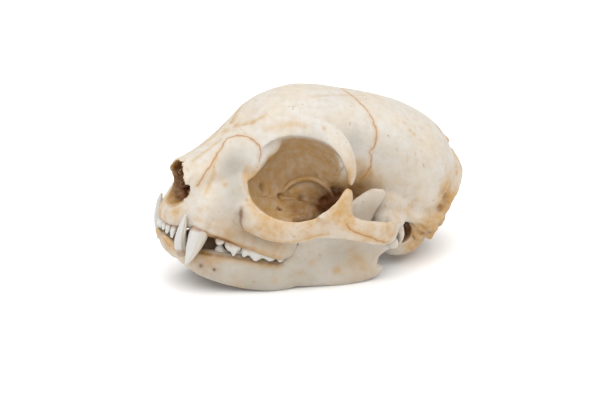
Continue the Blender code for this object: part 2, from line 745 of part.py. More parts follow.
def material(name, hex_colour, roughness):
    """Plain surface with its colour read as sRGB."""
    made = bpy.data.materials.new(name)
    made.use_nodes = True
    shader = made.node_tree.nodes["Principled BSDF"]
    channels = [int(hex_colour[k:k + 2], 16) / 255 for k in (1, 3, 5)]
    linear = [c / 12.92 if c <= 0.04045 else ((c + 0.055) / 1.055) ** 2.4 for c in channels]
    shader.inputs["Base Color"].default_value = (*linear, 1.0)
    shader.inputs["Roughness"].default_value = roughness
    return made


def at_rest(nodes):
    """Raises the nose, sets the lowest edge on the floor and the middle of the skull over the origin."""
    tilt = Matrix.Rotation(-REST_TILT, 4, "X")
    for node in nodes.values():
        node.data.transform(tilt)
    points = np.array([vert.co for node in nodes.values() for vert in node.data.vertices])
    low, high = points.min(axis=0), points.max(axis=0)
    middle = Vector(((low[0] + high[0]) / 2, (low[1] + high[1]) / 2, low[2]))
    place = Matrix.Scale(METRES, 4) @ Matrix.Translation(-middle)
    for node in nodes.values():
        node.data.transform(place)


def main():
    clear_scene()
    cranium = fused(gathered("cranium", cranium_masses()), smoothing=4)
    boolean(cranium, cranium_hollows(), "DIFFERENCE")
    fused(cranium, smoothing=2, voxel=0.5)
    thinned(largest(cranium), CRANIUM_TRIANGLES)
    symmetric(cranium)

    lines = {"face_seam": FACE_SEAM, "crown_seam": CROWN_SEAM, "nape_seam": NAPE_SEAM}
    sheets = [cut_sheet(name, line) for name, line in lines.items()]
    sheets += both(cut_sheet("arch_front_seam", ARCH_FRONT_SEAM, upright=True))
    sheets += both(cut_sheet("arch_back_seam", ARCH_BACK_SEAM, upright=True))
    boolean(cranium, sheets, "DIFFERENCE")
    nodes = parted(cranium, CRANIUM_NODES)

    add_upper_teeth(nodes["muzzle"])
    boolean(nodes["muzzle"], canine_rooms(), "DIFFERENCE")

    room = [half + GAP for half in BULLA_HALF]
    for name in ("braincase", "occiput"):
        boolean(nodes[name], both(egg("bulla_room", BULLA_CENTRE, room, BULLA_TURN, 20, 12)), "DIFFERENCE")
        boolean(nodes[name], both(egg("ear_cut", EAR_HOLE, EAR_HOLE_HALF, Matrix(), 12, 8)), "DIFFERENCE")
    bulla = egg("auditory_bulla_left", BULLA_CENTRE, BULLA_HALF, BULLA_TURN, 20, 12)
    boolean(bulla, [egg("ear_cut", EAR_HOLE, EAR_HOLE_HALF, Matrix(), 12, 8)], "DIFFERENCE")
    nodes["auditory_bulla_left"] = bulla
    nodes["auditory_bulla_right"] = mirrored(bulla, "auditory_bulla_right")

    nodes["mandible_left"] = mandible()
    nodes["mandible_right"] = mirrored(nodes["mandible_left"], "mandible_right")

    colours = {
        "muzzle": "#e4d8c0", "frontal": "#e9dfca", "braincase": "#e2d8c4", "occiput": "#cdb48a",
        "zygomatic_arch": "#e0cfae", "auditory_bulla": "#c9b79a", "mandible": "#dccfb6",
    }
    for name, node in nodes.items():
        largest(node)
        kind = name.removesuffix("_left").removesuffix("_right")
        node.data.materials.clear()
        node.data.materials.append(material(name, colours[kind], 0.55))
        for face in node.data.polygons:
            face.use_smooth = True
        node.data.set_sharp_from_angle(angle=EDGE_ANGLE)
    at_rest(nodes)


main()
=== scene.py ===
"""Dry skull of a wildcat with its lower jaw, life size, on a pale studio floor.

Shapes are drawn in millimetres in the palate frame: X to the skull's left, Y from the front teeth to
the back of the head, Z up from the hard palate. Each piece is set on the floor in metres at its end.
"""

import itertools
import json
import math

import bmesh
import bpy
import numpy as np
from mathutils import Matrix, Vector

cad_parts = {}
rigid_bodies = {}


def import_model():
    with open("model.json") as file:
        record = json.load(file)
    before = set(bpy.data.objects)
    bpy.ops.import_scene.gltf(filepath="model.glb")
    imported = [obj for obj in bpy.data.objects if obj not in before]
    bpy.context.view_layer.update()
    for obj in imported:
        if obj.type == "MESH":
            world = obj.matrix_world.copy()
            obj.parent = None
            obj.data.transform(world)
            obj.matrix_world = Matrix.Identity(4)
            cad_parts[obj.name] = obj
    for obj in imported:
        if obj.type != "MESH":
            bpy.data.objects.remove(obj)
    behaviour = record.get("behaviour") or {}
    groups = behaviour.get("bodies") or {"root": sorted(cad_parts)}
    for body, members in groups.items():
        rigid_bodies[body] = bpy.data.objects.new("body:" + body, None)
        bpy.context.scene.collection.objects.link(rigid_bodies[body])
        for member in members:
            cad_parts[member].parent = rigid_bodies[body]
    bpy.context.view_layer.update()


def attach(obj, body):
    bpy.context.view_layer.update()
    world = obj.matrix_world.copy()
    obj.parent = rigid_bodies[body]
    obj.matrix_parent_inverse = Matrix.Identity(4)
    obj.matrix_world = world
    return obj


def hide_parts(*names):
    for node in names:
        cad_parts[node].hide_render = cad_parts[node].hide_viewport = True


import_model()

# Skull, without ear capsules and teeth: one shell of thin bone, grown from many plates that have
# knitted together along their seams. It is built from rounded masses that melt into each other.
VOXEL = 0.36  # grain of the finished bone surface

# Each row of a loft: y, half width, height of the widest level, top, bottom
BRAINCASE = [
    (43, 13, 27, 42, 15), (48, 16.6, 26, 42, 12), (53, 17.7, 25.5, 41.6, 9), (57.5, 18.7, 25, 41, 7),
    (63, 21, 22.5, 40.4, 5.5), (69, 22.6, 20.5, 39.5, 4.8), (76, 22.3, 19, 38.1, 4.2),
    (83, 20.3, 18, 35.6, 4), (88, 17.3, 17.5, 32.5, 4.2), (91.5, 13.5, 17, 29.2, 6),
    (94.5, 8, 17, 25, 10),
]
BROW = [
    (4.6, 6.5, 12.5, 17.7, 7), (8, 7.3, 13, 19.6, 6), (12, 8.3, 14, 22.2, 5), (18, 10.2, 16, 27.2, 5),
    (23, 12.8, 18, 32, 6), (27, 14.8, 20, 36.1, 8), (31, 15.8, 21, 38.7, 10), (37, 17.2, 22, 40.9, 12),
    (43, 18.4, 23, 42, 14), (48, 18.2, 24, 42, 16), (53, 18, 25.5, 41.5, 18),
    (57.5, 18.6, 25, 40.8, 18), (62, 16.5, 24, 37.5, 18),
]
MAXILLA = [
    (2, 4.8, 1.4, 2.8, -0.6), (3.6, 6.8, 2, 5, -0.9), (6.5, 10, 3.2, 9, -1), (9.5, 12, 4, 14, -1),
    (13, 12.4, 4.6, 17, -1.2), (16.5, 13.8, 5.6, 19, -1.6), (20, 16.4, 7, 21, -2),
    (24, 18.6, 6.6, 21, -2.6), (28, 19.8, 4.6, 18, -3.2), (32, 20, 3, 13, -3.2),
    (36, 17.6, 2.6, 9, -2.8), (40, 12, 3.4, 8, -1.2), (46, 7, 4.4, 8, 1.6),
]
SKULL_BASE = [
    (26, 6.5, 12, 26, 1), (36, 7, 12, 28, 1), (44, 9, 14, 32, 2), (50, 12.6, 15, 34, 2.4),
    (56, 15, 14, 30, 2.6), (66, 17, 10, 20, 2.8), (78, 16.6, 8, 18, 2.8), (88, 11.5, 6, 16, 2.4),
    (91.5, 7.5, 6, 12, 3),
]
PALATE_VAULT = [
    (11, 5, -7, -1.4, -16), (14, 9.4, -7, -0.6, -16), (18, 11.4, -7, -0.5, -16),
    (23, 13.2, -7, -0.4, -16), (28, 15, -7, -0.3, -16), (32.5, 16.7, -7, -0.3, -16),
    (38, 18.6, -7, -0.6, -16),
]
# Each row of a bar or blade: point on its middle line, half height, half thickness
TOOTH_RIDGE = [
    ((10.8, 9.5, 1.4), 2.6, 1.6), ((12, 14, 1), 2.9, 1.7), ((13.3, 18, 0.4), 3.3, 1.8),
    ((15, 22, -0.4), 3.7, 1.9), ((16.7, 26, -1), 3.9, 2), ((18.1, 30, -1.7), 4.2, 2),
    ((18.9, 32.8, -2), 4.4, 1.8), ((18.6, 35.6, -2), 3.9, 1.5), ((18, 38.2, -1.6), 2.4, 1.1),
]
# Swelling of the face over the root of the upper canine
CANINE_SWELLING = [
    ((8.9, 13, 8), 2.4, 2), ((10.3, 11, 3.6), 3.2, 2.4), ((11, 9.8, 0.6), 3.4, 2.5),
]
ARCH = [
    ((12.5, 19.5, 9), 4, 2.4), ((16.6, 21.8, 7.6), 5.2, 2.9), ((20.2, 24.4, 5.9), 4.4, 2.7),
    ((23.4, 27.6, 5.2), 4.1, 2.5), ((26.6, 33, 5.6), 4, 2.1), ((29.2, 39, 7.8), 3.7, 1.8),
    ((31, 44.6, 8.4), 3.9, 1.7), ((32.2, 51, 7.4), 3.4, 1.7), ((32.2, 57, 6.6), 3.7, 1.8),
    ((30.9, 60.7, 6.2), 3.6, 1.7), ((28.4, 63.6, 6.3), 3.6, 1.8), ((23.5, 65.4, 6.8), 3.6, 2.2),
    ((17.5, 66.6, 8), 4, 3),
]
JUGAL_PROCESS = [
    ((30.8, 42.4, 8.8), 6.6, 1.7), ((30.3, 43.6, 12), 5.2, 1.6), ((29.9, 44.9, 15), 3.4, 1.5),
    ((29.6, 45.9, 17.6), 2, 1.3), ((29.4, 46.4, 19.4), 1, 0.9),
]
FRONTAL_PROCESS = [
    ((11, 39, 31), 5.5, 3.5), ((16.5, 42.5, 31.4), 4.6, 2.8), ((21, 45.6, 29.2), 3.7, 2.2),
    ((23.9, 47.8, 26), 2.5, 1.7), ((25, 48.7, 22.8), 1.7, 1.3), ((25.2, 48.9, 20.6), 1.2, 1),
    ((25.2, 48.8, 19), 0.8, 0.7),
]
NUCHAL_CREST = [
    ((0, 95.9, 23), 3.5, 1.7), ((5.5, 95.7, 20.8), 3.5, 1.7), ((10.5, 93.2, 17.3), 3.4, 1.7),
    ((14.6, 89.4, 13.4), 3.1, 1.7), ((16.8, 86, 9.2), 3, 2), ((17.6, 83.2, 5.2), 3, 2.5),
    ((17.2, 80.8, 2.4), 2.4, 2.5),
]
SAGITTAL_CREST = [
    ((0, 78, 35.6), 1.2, 1.3), ((0, 85, 32.6), 1.2, 1.2), ((0, 90.5, 29.2), 1.3, 1.2),
    ((0, 94.8, 25.2), 2, 1.6),
]
EAR_RIDGE = [
    ((22.5, 65.6, 8.4), 2, 2), ((21.4, 70.2, 8.8), 2.1, 2), ((20, 75.5, 7.8), 2.3, 2.1),
    ((18.2, 81, 5.8), 2.7, 2.4), ((17, 84.6, 4.4), 2.6, 2.4),
]
POSTGLENOID = [
    ((15, 69.8, 3.4), 4.2, 1.2), ((18.5, 69.9, 2.2), 4.6, 1.1), ((22, 69.8, 3.2), 3.8, 1.1),
    ((24.6, 69.4, 4.6), 2, 1),
]
PTERYGOID = [
    ((6.4, 39, 2), 3.4, 1.4), ((6.2, 45, 1), 3.6, 1.2), ((5.8, 51, 0.6), 3.4, 1.1),
    ((5.8, 57, 2.4), 2.2, 1.1),
]
# Low ridge on the inner wall of the eye socket, over the holes of the nerves
SOCKET_RIDGE = [
    ((6.6, 36.5, 10.4), 0.7, 0.8), ((6.9, 38.4, 13.2), 0.8, 0.9), ((8.2, 41.4, 15.4), 0.8, 0.9),
    ((10.8, 44.6, 16.2), 0.8, 0.9), ((13.6, 47.6, 14.6), 0.7, 0.9), ((14.2, 50.4, 11.6), 0.5, 0.7),
]
ORBIT_CENTRE = Vector((20.0, 33.8, 19.0))
ORBIT_LONG = Vector((0.351, 0.913, 0.208))
ORBIT_FACING = Vector((0.739, -0.393, 0.479))
ORBIT_HALF = (14.3, 13.0, 16.0)
# The thick upper front corner of the rim, left standing in the hollow
ORBIT_CORNER = [
    ((12.2, 19.6, 14.8), 1, 1), ((11.9, 20.9, 17), 1.7, 1.7), ((11.6, 22.5, 18.8), 2.2, 2.2),
    ((11, 25, 21.7), 2.2, 2.2), ((10.4, 26.9, 24), 2.2, 2.2), ((10.4, 29.3, 25.9), 2, 2),
    ((10.1, 31.3, 28.2), 1.2, 1.2),
]
BULLA_CENTRE = Vector((12.4, 76.0, -0.3))
BULLA_HALF = (6.2, 9.6, 7.0)
BULLA_TURN = Matrix.Rotation(math.radians(12.0), 4, "Z")
EAR_HOLE = Vector((19.6, 73.2, 2.3))
EAR_HOLE_HALF = (6.6, 2.6, 3.0)
NOSE_HOLE = ((0, 5.2, 11.4), (6, 8.8, 6), Matrix.Rotation(math.radians(30), 4, "X"))
NOSE_DEPTH = ((0, 11, 12.6), (5, 9, 5.6), Matrix.Rotation(math.radians(18), 4, "X"))
SPINE_HOLE = ((0, 94.4, 6.2), (5.2, 7, 4.4), Matrix())


def picked(*things):
    """Selects these things alone and makes the first one active."""
    bpy.ops.object.select_all(action="DESELECT")
    for thing in things:
        thing.select_set(True)
    bpy.context.view_layer.objects.active = things[0]


def finished(thing):
    """Applies the modifiers in their order."""
    picked(thing)
    for step in list(thing.modifiers):
        bpy.ops.object.modifier_apply(modifier=step.name)
    return thing


def object_of(name, shape):
    mesh = bpy.data.meshes.new(name)
    shape.to_mesh(mesh)
    shape.free()
    made = bpy.data.objects.new(name, mesh)
    bpy.context.scene.collection.objects.link(made)
    return made


def eased(rows, count):
    """The rows read at even steps of their first value, on a curve that never overshoots a row."""
    rows = np.array(rows, float)
    key = rows[:, 0]
    width = np.diff(key)
    slope = np.diff(rows, axis=0) / width[:, None]
    tangent = np.zeros_like(rows)
    tangent[0] = slope[0]
    tangent[-1] = slope[-1]
    before, after = slope[:-1], slope[1:]
    same = before * after > 0
    mean = 2 * before * after / np.where(same, before + after, 1.0)
    tangent[1:-1] = np.where(same, mean, 0.0)
    made = []
    for at in np.linspace(key[0], key[-1], count):
        i = min(np.searchsorted(key, at, side="right") - 1, len(width) - 1)
        t = (at - key[i]) / width[i]
        ends = (2 * t**3 - 3 * t**2 + 1) * rows[i] + (3 * t**2 - 2 * t**3) * rows[i + 1]
        turns = (t**3 - 2 * t**2 + t) * tangent[i] + (t**3 - t**2) * tangent[i + 1]
        made.append(ends + width[i] * turns)
    return np.array(made)


def skin(name, rings):
    """A closed mesh over rings of points, with a point at the middle of each end."""
    shape = bmesh.new()
    loops = [[shape.verts.new(p) for p in ring] for ring in rings]
    count = len(rings[0])
    for low, high in zip(loops, loops[1:]):
        for i in range(count):
            j = (i + 1) % count
            shape.faces.new((low[i], low[j], high[j], high[i]))
    for loop in (loops[0], loops[-1]):
        middle = shape.verts.new(sum((v.co for v in loop), Vector()) / count)
        for i in range(count):
            shape.faces.new((loop[i], loop[(i + 1) % count], middle))
    bmesh.ops.recalc_face_normals(shape, faces=shape.faces)
    if shape.calc_volume(signed=True) < 0:
        bmesh.ops.reverse_faces(shape, faces=shape.faces)
    return object_of(name, shape)


def loft(name, rows, upper=2.2, lower=2.4, steps=90, points=72):
    """A body along Y whose sections are superellipses, rounder or squarer above and below."""
    rings = []
    for y, half_width, widest, top, bottom in eased(rows, steps):
        ring = []
        for i in range(points):
            across, rise = math.cos(math.tau * i / points), math.sin(math.tau * i / points)
            power = 2.0 / (upper if rise > 0 else lower)
            reach = top - widest if rise > 0 else widest - bottom
            x = half_width * math.copysign(abs(across) ** power, across)
            ring.append(Vector((x, y, widest + reach * math.copysign(abs(rise) ** power, rise))))
        rings.append(ring)
    return skin(name, rings)


def blade(name, rows, thin=(1, 0, 0), steps=50, points=24):
    """A bar along a curved middle line, with oval sections that are thin along one direction."""
    length = [0.0]
    for one, two in zip(rows, rows[1:]):
        length.append(length[-1] + (Vector(two[0]) - Vector(one[0])).length)
    line = eased([(at, *point, tall, slim) for at, (point, tall, slim) in zip(length, rows)], steps)
    rings = []
    for i, (_, x, y, z, tall, slim) in enumerate(line):
        along = Vector(line[min(i + 1, steps - 1)][1:4]) - Vector(line[max(i - 1, 0)][1:4])
        along.normalize()
        side = Vector(thin) - along * along.dot(Vector(thin))
        side.normalize()
        rise = along.cross(side)
        ring = []
        for k in range(points):
            a = math.tau * k / points
            ring.append(Vector((x, y, z)) + side * slim * math.cos(a) + rise * tall * math.sin(a))
        rings.append(ring)
    return skin(name, rings)


def egg(name, centre, half, turn=Matrix()):
    bpy.ops.object.select_all(action="DESELECT")
    bpy.ops.mesh.primitive_uv_sphere_add(segments=56, ring_count=36, radius=1.0)
    made = bpy.context.object
    made.name = name
    made.data.transform(Matrix.Translation(centre) @ turn @ Matrix.Diagonal((*half, 1.0)))
    return made


def both(thing):
    """The piece and its mirror image on the skull's right."""
    other = thing.copy()
    other.data = thing.data.copy()
    bpy.context.scene.collection.objects.link(other)
    other.data.transform(Matrix.Diagonal((-1.0, 1.0, 1.0, 1.0)))
    other.data.flip_normals()
    return [thing, other]


def joined(name, things):
    picked(*things)
    bpy.ops.object.join()
    things[0].name = name
    return things[0]


def melted(thing, voxel, smoothing):
    """Melts overlapping shells into one closed skin and softens it."""
    step = thing.modifiers.new("melt", "REMESH")
    step.mode = "VOXEL"
    step.voxel_size = voxel
    step = thing.modifiers.new("soften", "SMOOTH")
    step.factor = 0.5
    step.iterations = smoothing
    return finished(thing)


def carved(thing, cutters):
    for cutter in cutters:
        step = thing.modifiers.new("carve", "BOOLEAN")
        step.operation = "DIFFERENCE"
        step.solver = "MANIFOLD"
        step.object = cutter
        finished(thing)
        bpy.data.objects.remove(cutter)
    return thing


# The eye socket is an egg whose own axes follow its opening
rise = ORBIT_FACING.cross(ORBIT_LONG).normalized()
axes = (rise.cross(ORBIT_FACING).normalized(), rise, ORBIT_FACING.normalized())
ORBIT_TURN = Matrix(axes).transposed().to_4x4()

masses = [
    loft("braincase_mass", BRAINCASE, upper=2.4, lower=2.8),
    loft("brow_mass", BROW, upper=2.3),
    loft("maxilla_mass", MAXILLA, lower=3.0),
    loft("base_mass", SKULL_BASE),
    blade("sagittal_mass", SAGITTAL_CREST),
]
masses += both(blade("arch_mass", ARCH, steps=90))
masses += both(blade("tooth_ridge_mass", TOOTH_RIDGE))
masses += both(blade("canine_swelling_mass", CANINE_SWELLING))
masses += both(egg("socket_floor_mass", (10.0, 40.5, 5.4), (5.2, 9.0, 3.8)))
masses += both(blade("jugal_mass", JUGAL_PROCESS))
masses += both(blade("frontal_process_mass", FRONTAL_PROCESS))
masses += both(blade("crest_mass", NUCHAL_CREST, thin=(0.2, 0.6, 0.8)))
masses += both(blade("ear_ridge_mass", EAR_RIDGE))
masses += both(blade("postglenoid_mass", POSTGLENOID, thin=(0, 1, 0)))
masses += both(blade("pterygoid_mass", PTERYGOID))
masses += both(egg("shelf_mass", (20.0, 65.8, 7.8), (7.4, 5.2, 2.8)))
masses += both(egg("temporal_root_mass", (18.0, 67.0, 11.0), (5.2, 7.6, 6.4)))
masses += both(egg("mastoid_mass", (16.4, 79.8, 4.4), (4.2, 5.2, 5.6)))
masses += both(egg("paroccipital_mass", (12.8, 86.0, 1.6), (3.2, 2.6, 3.6)))
masses += both(egg("condyle_mass", (6.4, 91.8, 3.2), (2.9, 3.2, 4.2)))
cranium = melted(joined("cranium", masses), voxel=0.5, smoothing=5)

orbit = egg("orbit_cut", ORBIT_CENTRE, ORBIT_HALF, ORBIT_TURN)
corner = [blade("orbit_corner", ORBIT_CORNER), blade("orbit_corner_outer", ORBIT_CORNER)]
corner[1].data.transform(Matrix.Translation((-0.3, -0.8, 1.7)))
carved(orbit, corner)
hollows = both(orbit)
hollows += [
    egg("nose_cut", *NOSE_HOLE),
    egg("nose_side_cut", (0, 5, 10.8), (7.6, 3.4, 4)),
    egg("nose_deep_cut", *NOSE_DEPTH),
    egg("spinal_cut", *SPINE_HOLE),
    egg("throat_cut", (0, 51, 0), (4.6, 12, 5.4)),
    loft("palate_cut", PALATE_VAULT, upper=4.5),
]
hollows += both(egg("jaw_socket_cut", (22.6, 66.4, 0.4), (8.2, 2.9, 3.8)))
hollows += both(egg("ear_cut", EAR_HOLE, EAR_HOLE_HALF))
AIR = 0.35  # gap around the ear capsule
room = [half + AIR for half in BULLA_HALF]
hollows += both(egg("bulla_room_cut", BULLA_CENTRE, room, BULLA_TURN))
carved(cranium, hollows)
ridges = both(blade("socket_ridge", SOCKET_RIDGE, thin=(0.8, -0.3, 0.4)))
cranium = joined("cranium", [cranium] + ridges)
melted(cranium, VOXEL, smoothing=3)

# Surface of the skull: root swellings, hollows, nerve holes and the coarse bone at the back where the
# neck muscles held. Each row: x, y, z, radius, height of the swelling, below 0 for a hollow.
SWELLINGS = [
    (12, 11, 5, 3.6, 0.7), (11.4, 13, 10, 3.2, 0.35), (14.5, 15.5, 6.5, 3.2, -0.7),
    (17.5, 19, 11, 3, -0.4), (17, 18.6, 6.6, 1.5, -0.6), (17.2, 18.8, 4.2, 1.3, -0.6),
    (0, 24, 33, 3.2, -0.55), (0, 15, 24.5, 2.4, -0.3), (15.5, 36, 34.5, 5, 0.35),
    (17.5, 53, 27, 6, -0.9), (30.8, 44, 11, 3.4, 0.25), (6.8, 29.6, 12.6, 1.4, -0.7),
    (10.4, 34.6, 6.6, 0.8, -1), (8.4, 42.2, 9, 0.9, -1), (7.2, 35.6, 9.8, 0.6, -0.8),
    (12.6, 50.6, 12, 1.2, -1.6), (11.4, 48.6, 9.6, 1, -1.4), (23.6, 72.6, 10.6, 2, 0.4),
    (17.2, 87.6, 13.2, 2.2, -1.3), (15, 91, 15, 1.6, -0.7), (18.4, 85, 9, 1.6, -0.6),
    (8, 91.5, 27.5, 5, -0.8), (11.4, 92.8, 19.2, 1, 0.7), (8.8, 94.4, 21, 1, 0.6),
    (10.2, 93.4, 20.6, 0.7, -0.7), (16.4, 79.4, 0.4, 1.2, -1), (17.6, 77.6, 2.8, 1, -0.8),
    (16, 83, 2, 1, -0.7), (14.2, 23.2, 17.8, 1.6, -0.25), (19.8, 66.8, 11.4, 1.6, -0.3),
]


def grain(points, size, seed):
    """Smooth noise from -1 to 1 whose lumps have that size."""
    cells = 32
    table = np.random.default_rng(seed).uniform(-1.0, 1.0, (cells, cells, cells))
    at = points / size
    low = np.floor(at).astype(int)
    t = at - low
    t = t * t * (3 - 2 * t)
    value = np.zeros(len(points))
    for corner in itertools.product((0, 1), repeat=3):
        weight = np.prod(np.where(corner, t, 1 - t), axis=1)
        i = (low + corner) % cells
        value += weight * table[i[:, 0], i[:, 1], i[:, 2]]
    return value


def read_points(thing):
    points = np.empty(len(thing.data.vertices) * 3)
    thing.data.vertices.foreach_get("co", points)
    normals = np.empty(len(thing.data.vertices) * 3)
    thing.data.vertices.foreach_get("normal", normals)
    return points.reshape(-1, 3), normals.reshape(-1, 3)


def pushed(thing, points, normals, push):
    """Moves each point of the surface that far along its normal."""
    thing.data.vertices.foreach_set("co", (points + normals * push[:, None]).ravel())


def folded(points):
    """The same points brought to the skull's left side."""
    return np.column_stack((np.abs(points[:, 0]), points[:, 1], points[:, 2]))


def near(points, spot, radius):
    """1 at the spot, falling off smoothly over the radius."""
    return np.exp(-np.square(points - spot).sum(axis=1) / radius**2)


def ramp(values, low, high):
    t = np.clip((values - low) / (high - low), 0.0, 1.0)
    return t * t * (3 - 2 * t)


def coarse(points):
    """How rough and brown the bone is: the nape crest, the ear region and the back of the head."""
    x, y, z = points.T
    nape = ramp(y, 86.5, 92.5) * (0.22 + 0.78 * ramp(z, 15.5, 10.5))
    ear = ramp(y, 74.0, 80.0) * ramp(z, 9.5, 4.5)
    wing = ramp(y, 81.5, 85.5) * ramp(x, 13.0, 17.0) * ramp(z, 24.0, 17.0)
    return np.clip(nape + ear + wing, 0.0, 1.0)


points, normals = read_points(cranium)
side = folded(points)
push = np.zeros(len(points))
for x, y, z, radius, height in SWELLINGS:
    push += height * near(side, (x, y, z), radius)
# Seam between the two nose bones, and a shallow valley from it to the brow
x, y, z = side.T
on_top = ramp(normals[:, 2], 0.3, 0.7)
push -= 0.16 * np.exp(-((x / 0.35) ** 2)) * on_top * ramp(y, 24.5, 22.5) * ramp(z, 12.0, 15.0)
rough = coarse(side)
push += rough * (0.26 * grain(points, 1.9, 3) + 0.2 * grain(points, 0.95, 4))
# Ridges that fan out behind the ear, where the neck muscles pulled
fan = np.arctan2(z - 9.0, y - 70.0)
push += 0.22 * np.sin(30.0 * fan) * ramp(y, 74.5, 78.0) * ramp(z, 8.0, 6.0) * ramp(x, 12.0, 15.0)
push += 0.1 * grain(points, 5.5, 5) + 0.035 * grain(points, 1.7, 6)
# Chipped front edge of the nose bones and of the upper jaw beside the nose
edge = np.exp(-(((y - 5.2) / 2.2) ** 2)) * ramp(z, 7.5, 11.0)
push += edge * 0.5 * grain(points, 1.1, 8)
pushed(cranium, points, normals, push)
cranium.data.update()

# Plates of the skull: the shell is parted along the seams of its bones, each row y, z and half width
# of the cut, or x, y for the upright cuts at the ends of the cheek arches.
SEAM = 0.03  # width of a seam that has almost closed
FACE_SEAM = [
    (17, 46, 30), (20.5, 30, 24), (23.6, 26, 22), (24.2, 22.5, 21), (22.6, 18.5, 21), (21.6, 14.5, 21),
    (24.5, 11.2, 20.5), (30, 9.6, 20.5), (38, 8.8, 20.5), (48, 8.4, 20.5),
]
CROWN_SEAM = [
    (55.6, 46, 25), (56.4, 40.8, 25), (58.2, 35, 25), (58.8, 29, 25), (57.8, 22, 25), (56.6, 16, 25),
    (52, 11, 25), (48, 8.4, 25), (46.4, 4, 25), (46, -8, 25),
]
NAPE_SEAM = [
    (88.5, 46, 30), (89.4, 32, 30), (90.2, 24, 30), (88.4, 18, 30), (85, 12, 30), (83.4, 6, 30),
    (83.2, -8, 30),
]
ARCH_FRONT_SEAM = [(27.0, 12.0), (21.9, 20.5), (21.2, 25.0), (21.8, 31.0), (22.0, 44.0)]
ARCH_BACK_SEAM = [(24.6, 54.0), (25.4, 62.0), (25.6, 78.0)]
ARCH_SEAM_HEIGHT = (-12.0, 15.0)
# A point near the middle of each plate
PLATES = {
    "muzzle": (0.0, 17.0, 8.0),
    "frontal": (0.0, 40.0, 26.0),
    "braincase": (0.0, 70.0, 21.0),
    "occiput": (0.0, 90.5, 15.0),
    "zygomatic_arch_left": (28.0, 44.0, 9.0),
    "zygomatic_arch_right": (-28.0, 44.0, 9.0),
}


def cut_sheet(name, line, upright=False):
    flat = [Vector((row[0], row[1])) for row in line]
    rings = []
    for i, point in enumerate(flat):
        along = (flat[min(i + 1, len(flat) - 1)] - flat[max(i - 1, 0)]).normalized()
        off = Vector((-along.y, along.x)) * SEAM / 2
        one, two = point - off, point + off
        if upright:
            low, high = ARCH_SEAM_HEIGHT
            ring = [(*one, low), (*two, low), (*two, high), (*one, high)]
        else:
            reach = line[i][2]
            ring = [(-reach, *one), (-reach, *two), (reach, *two), (reach, *one)]
        rings.append([Vector(corner) for corner in ring])
    return skin(name, rings)


sheets = [cut_sheet("skull_cut", line) for line in (FACE_SEAM, CROWN_SEAM, NAPE_SEAM)]
for line in (ARCH_FRONT_SEAM, ARCH_BACK_SEAM):
    sheets += both(cut_sheet("arch_cut", line, upright=True))
carved(cranium, sheets)
before = set(bpy.data.objects)
picked(cranium)
bpy.ops.mesh.separate(type="LOOSE")
shells = [cranium] + [thing for thing in bpy.data.objects if thing not in before]


def box_middle(thing):
    points, _ = read_points(thing)
    return (points.min(axis=0) + points.max(axis=0)) / 2


CRUMB = 400  # a loose bit with no more points than this is no plate
plates = {}
for name, middle in PLATES.items():
    large = [thing for thing in shells if len(thing.data.vertices) > CRUMB]
    plate = min(large, key=lambda thing: np.linalg.norm(box_middle(thing) - middle))
    shells.remove(plate)
    plate.name = name + "_bone"
    plates[name] = plate
for scrap in shells:
    bpy.data.objects.remove(scrap)

# Dry bone: a cleaned skull that lay in soil, bleached again and left matt. Cream bone with cooler thin
# places, ochre where roots and soil touched it, brown in the holes, rust-coloured lines in the seams.
# The brown in the holes, eye sockets, nose and mouth, some ochre and brown in dents and some grey low
# on the jaws is painted shade.
FAR = 9.0  # stands for every distance that no seam or stain reaches
SEAM_LINES = [
    [
        (0, 55.2, 41.4), (3.2, 55.3, 41.2), (9.2, 56.6, 39.8), (12.3, 57.9, 38.3), (15, 58.6, 36.3),
        (17.1, 59.1, 33.8), (18.4, 59, 31.1), (18.3, 58.6, 28.9), (18.6, 57.3, 27.4), (18.8, 58, 25),
        (18.9, 58, 22.6), (18.5, 57.3, 20.5), (17.9, 55.9, 18.4),
    ],
    [
        (7.4, 8.3, 12.6), (7.2, 11.6, 18.7), (6, 13.9, 22.1), (4.8, 15.9, 24.8), (3.6, 17.1, 26.3),
        (5.3, 19.4, 27.8), (8.4, 21.8, 28.4), (10.7, 23.2, 27.6), (12.2, 24.3, 26.6),
        (12.9, 24.7, 24.9), (14.2, 23.6, 20.4), (15.4, 22.2, 17.4), (15.6, 21.4, 14.2),
    ],
    [(32.8, 45.3, 9.5), (33.2, 46.6, 8.1), (33.7, 49.8, 7), (33.8, 54, 5.8), (32.4, 60.4, 4)],
    [(32, 44.4, 9.6), (32.9, 45.6, 9.9)],
    [(7, 29, 14.4), (7.4, 31.4, 13.4), (7.2, 32.6, 11.2), (7.4, 31.2, 9.4), (8.2, 29, 9.4)],
    [(7.3, 36.5, 9.7), (7.4, 39.6, 9.6), (7.5, 42.5, 8.6), (9, 45.6, 7.4)],
    [(9.6, 34.4, 7.3), (10.4, 33.4, 6.4), (11.8, 32.3, 6.2)],
]
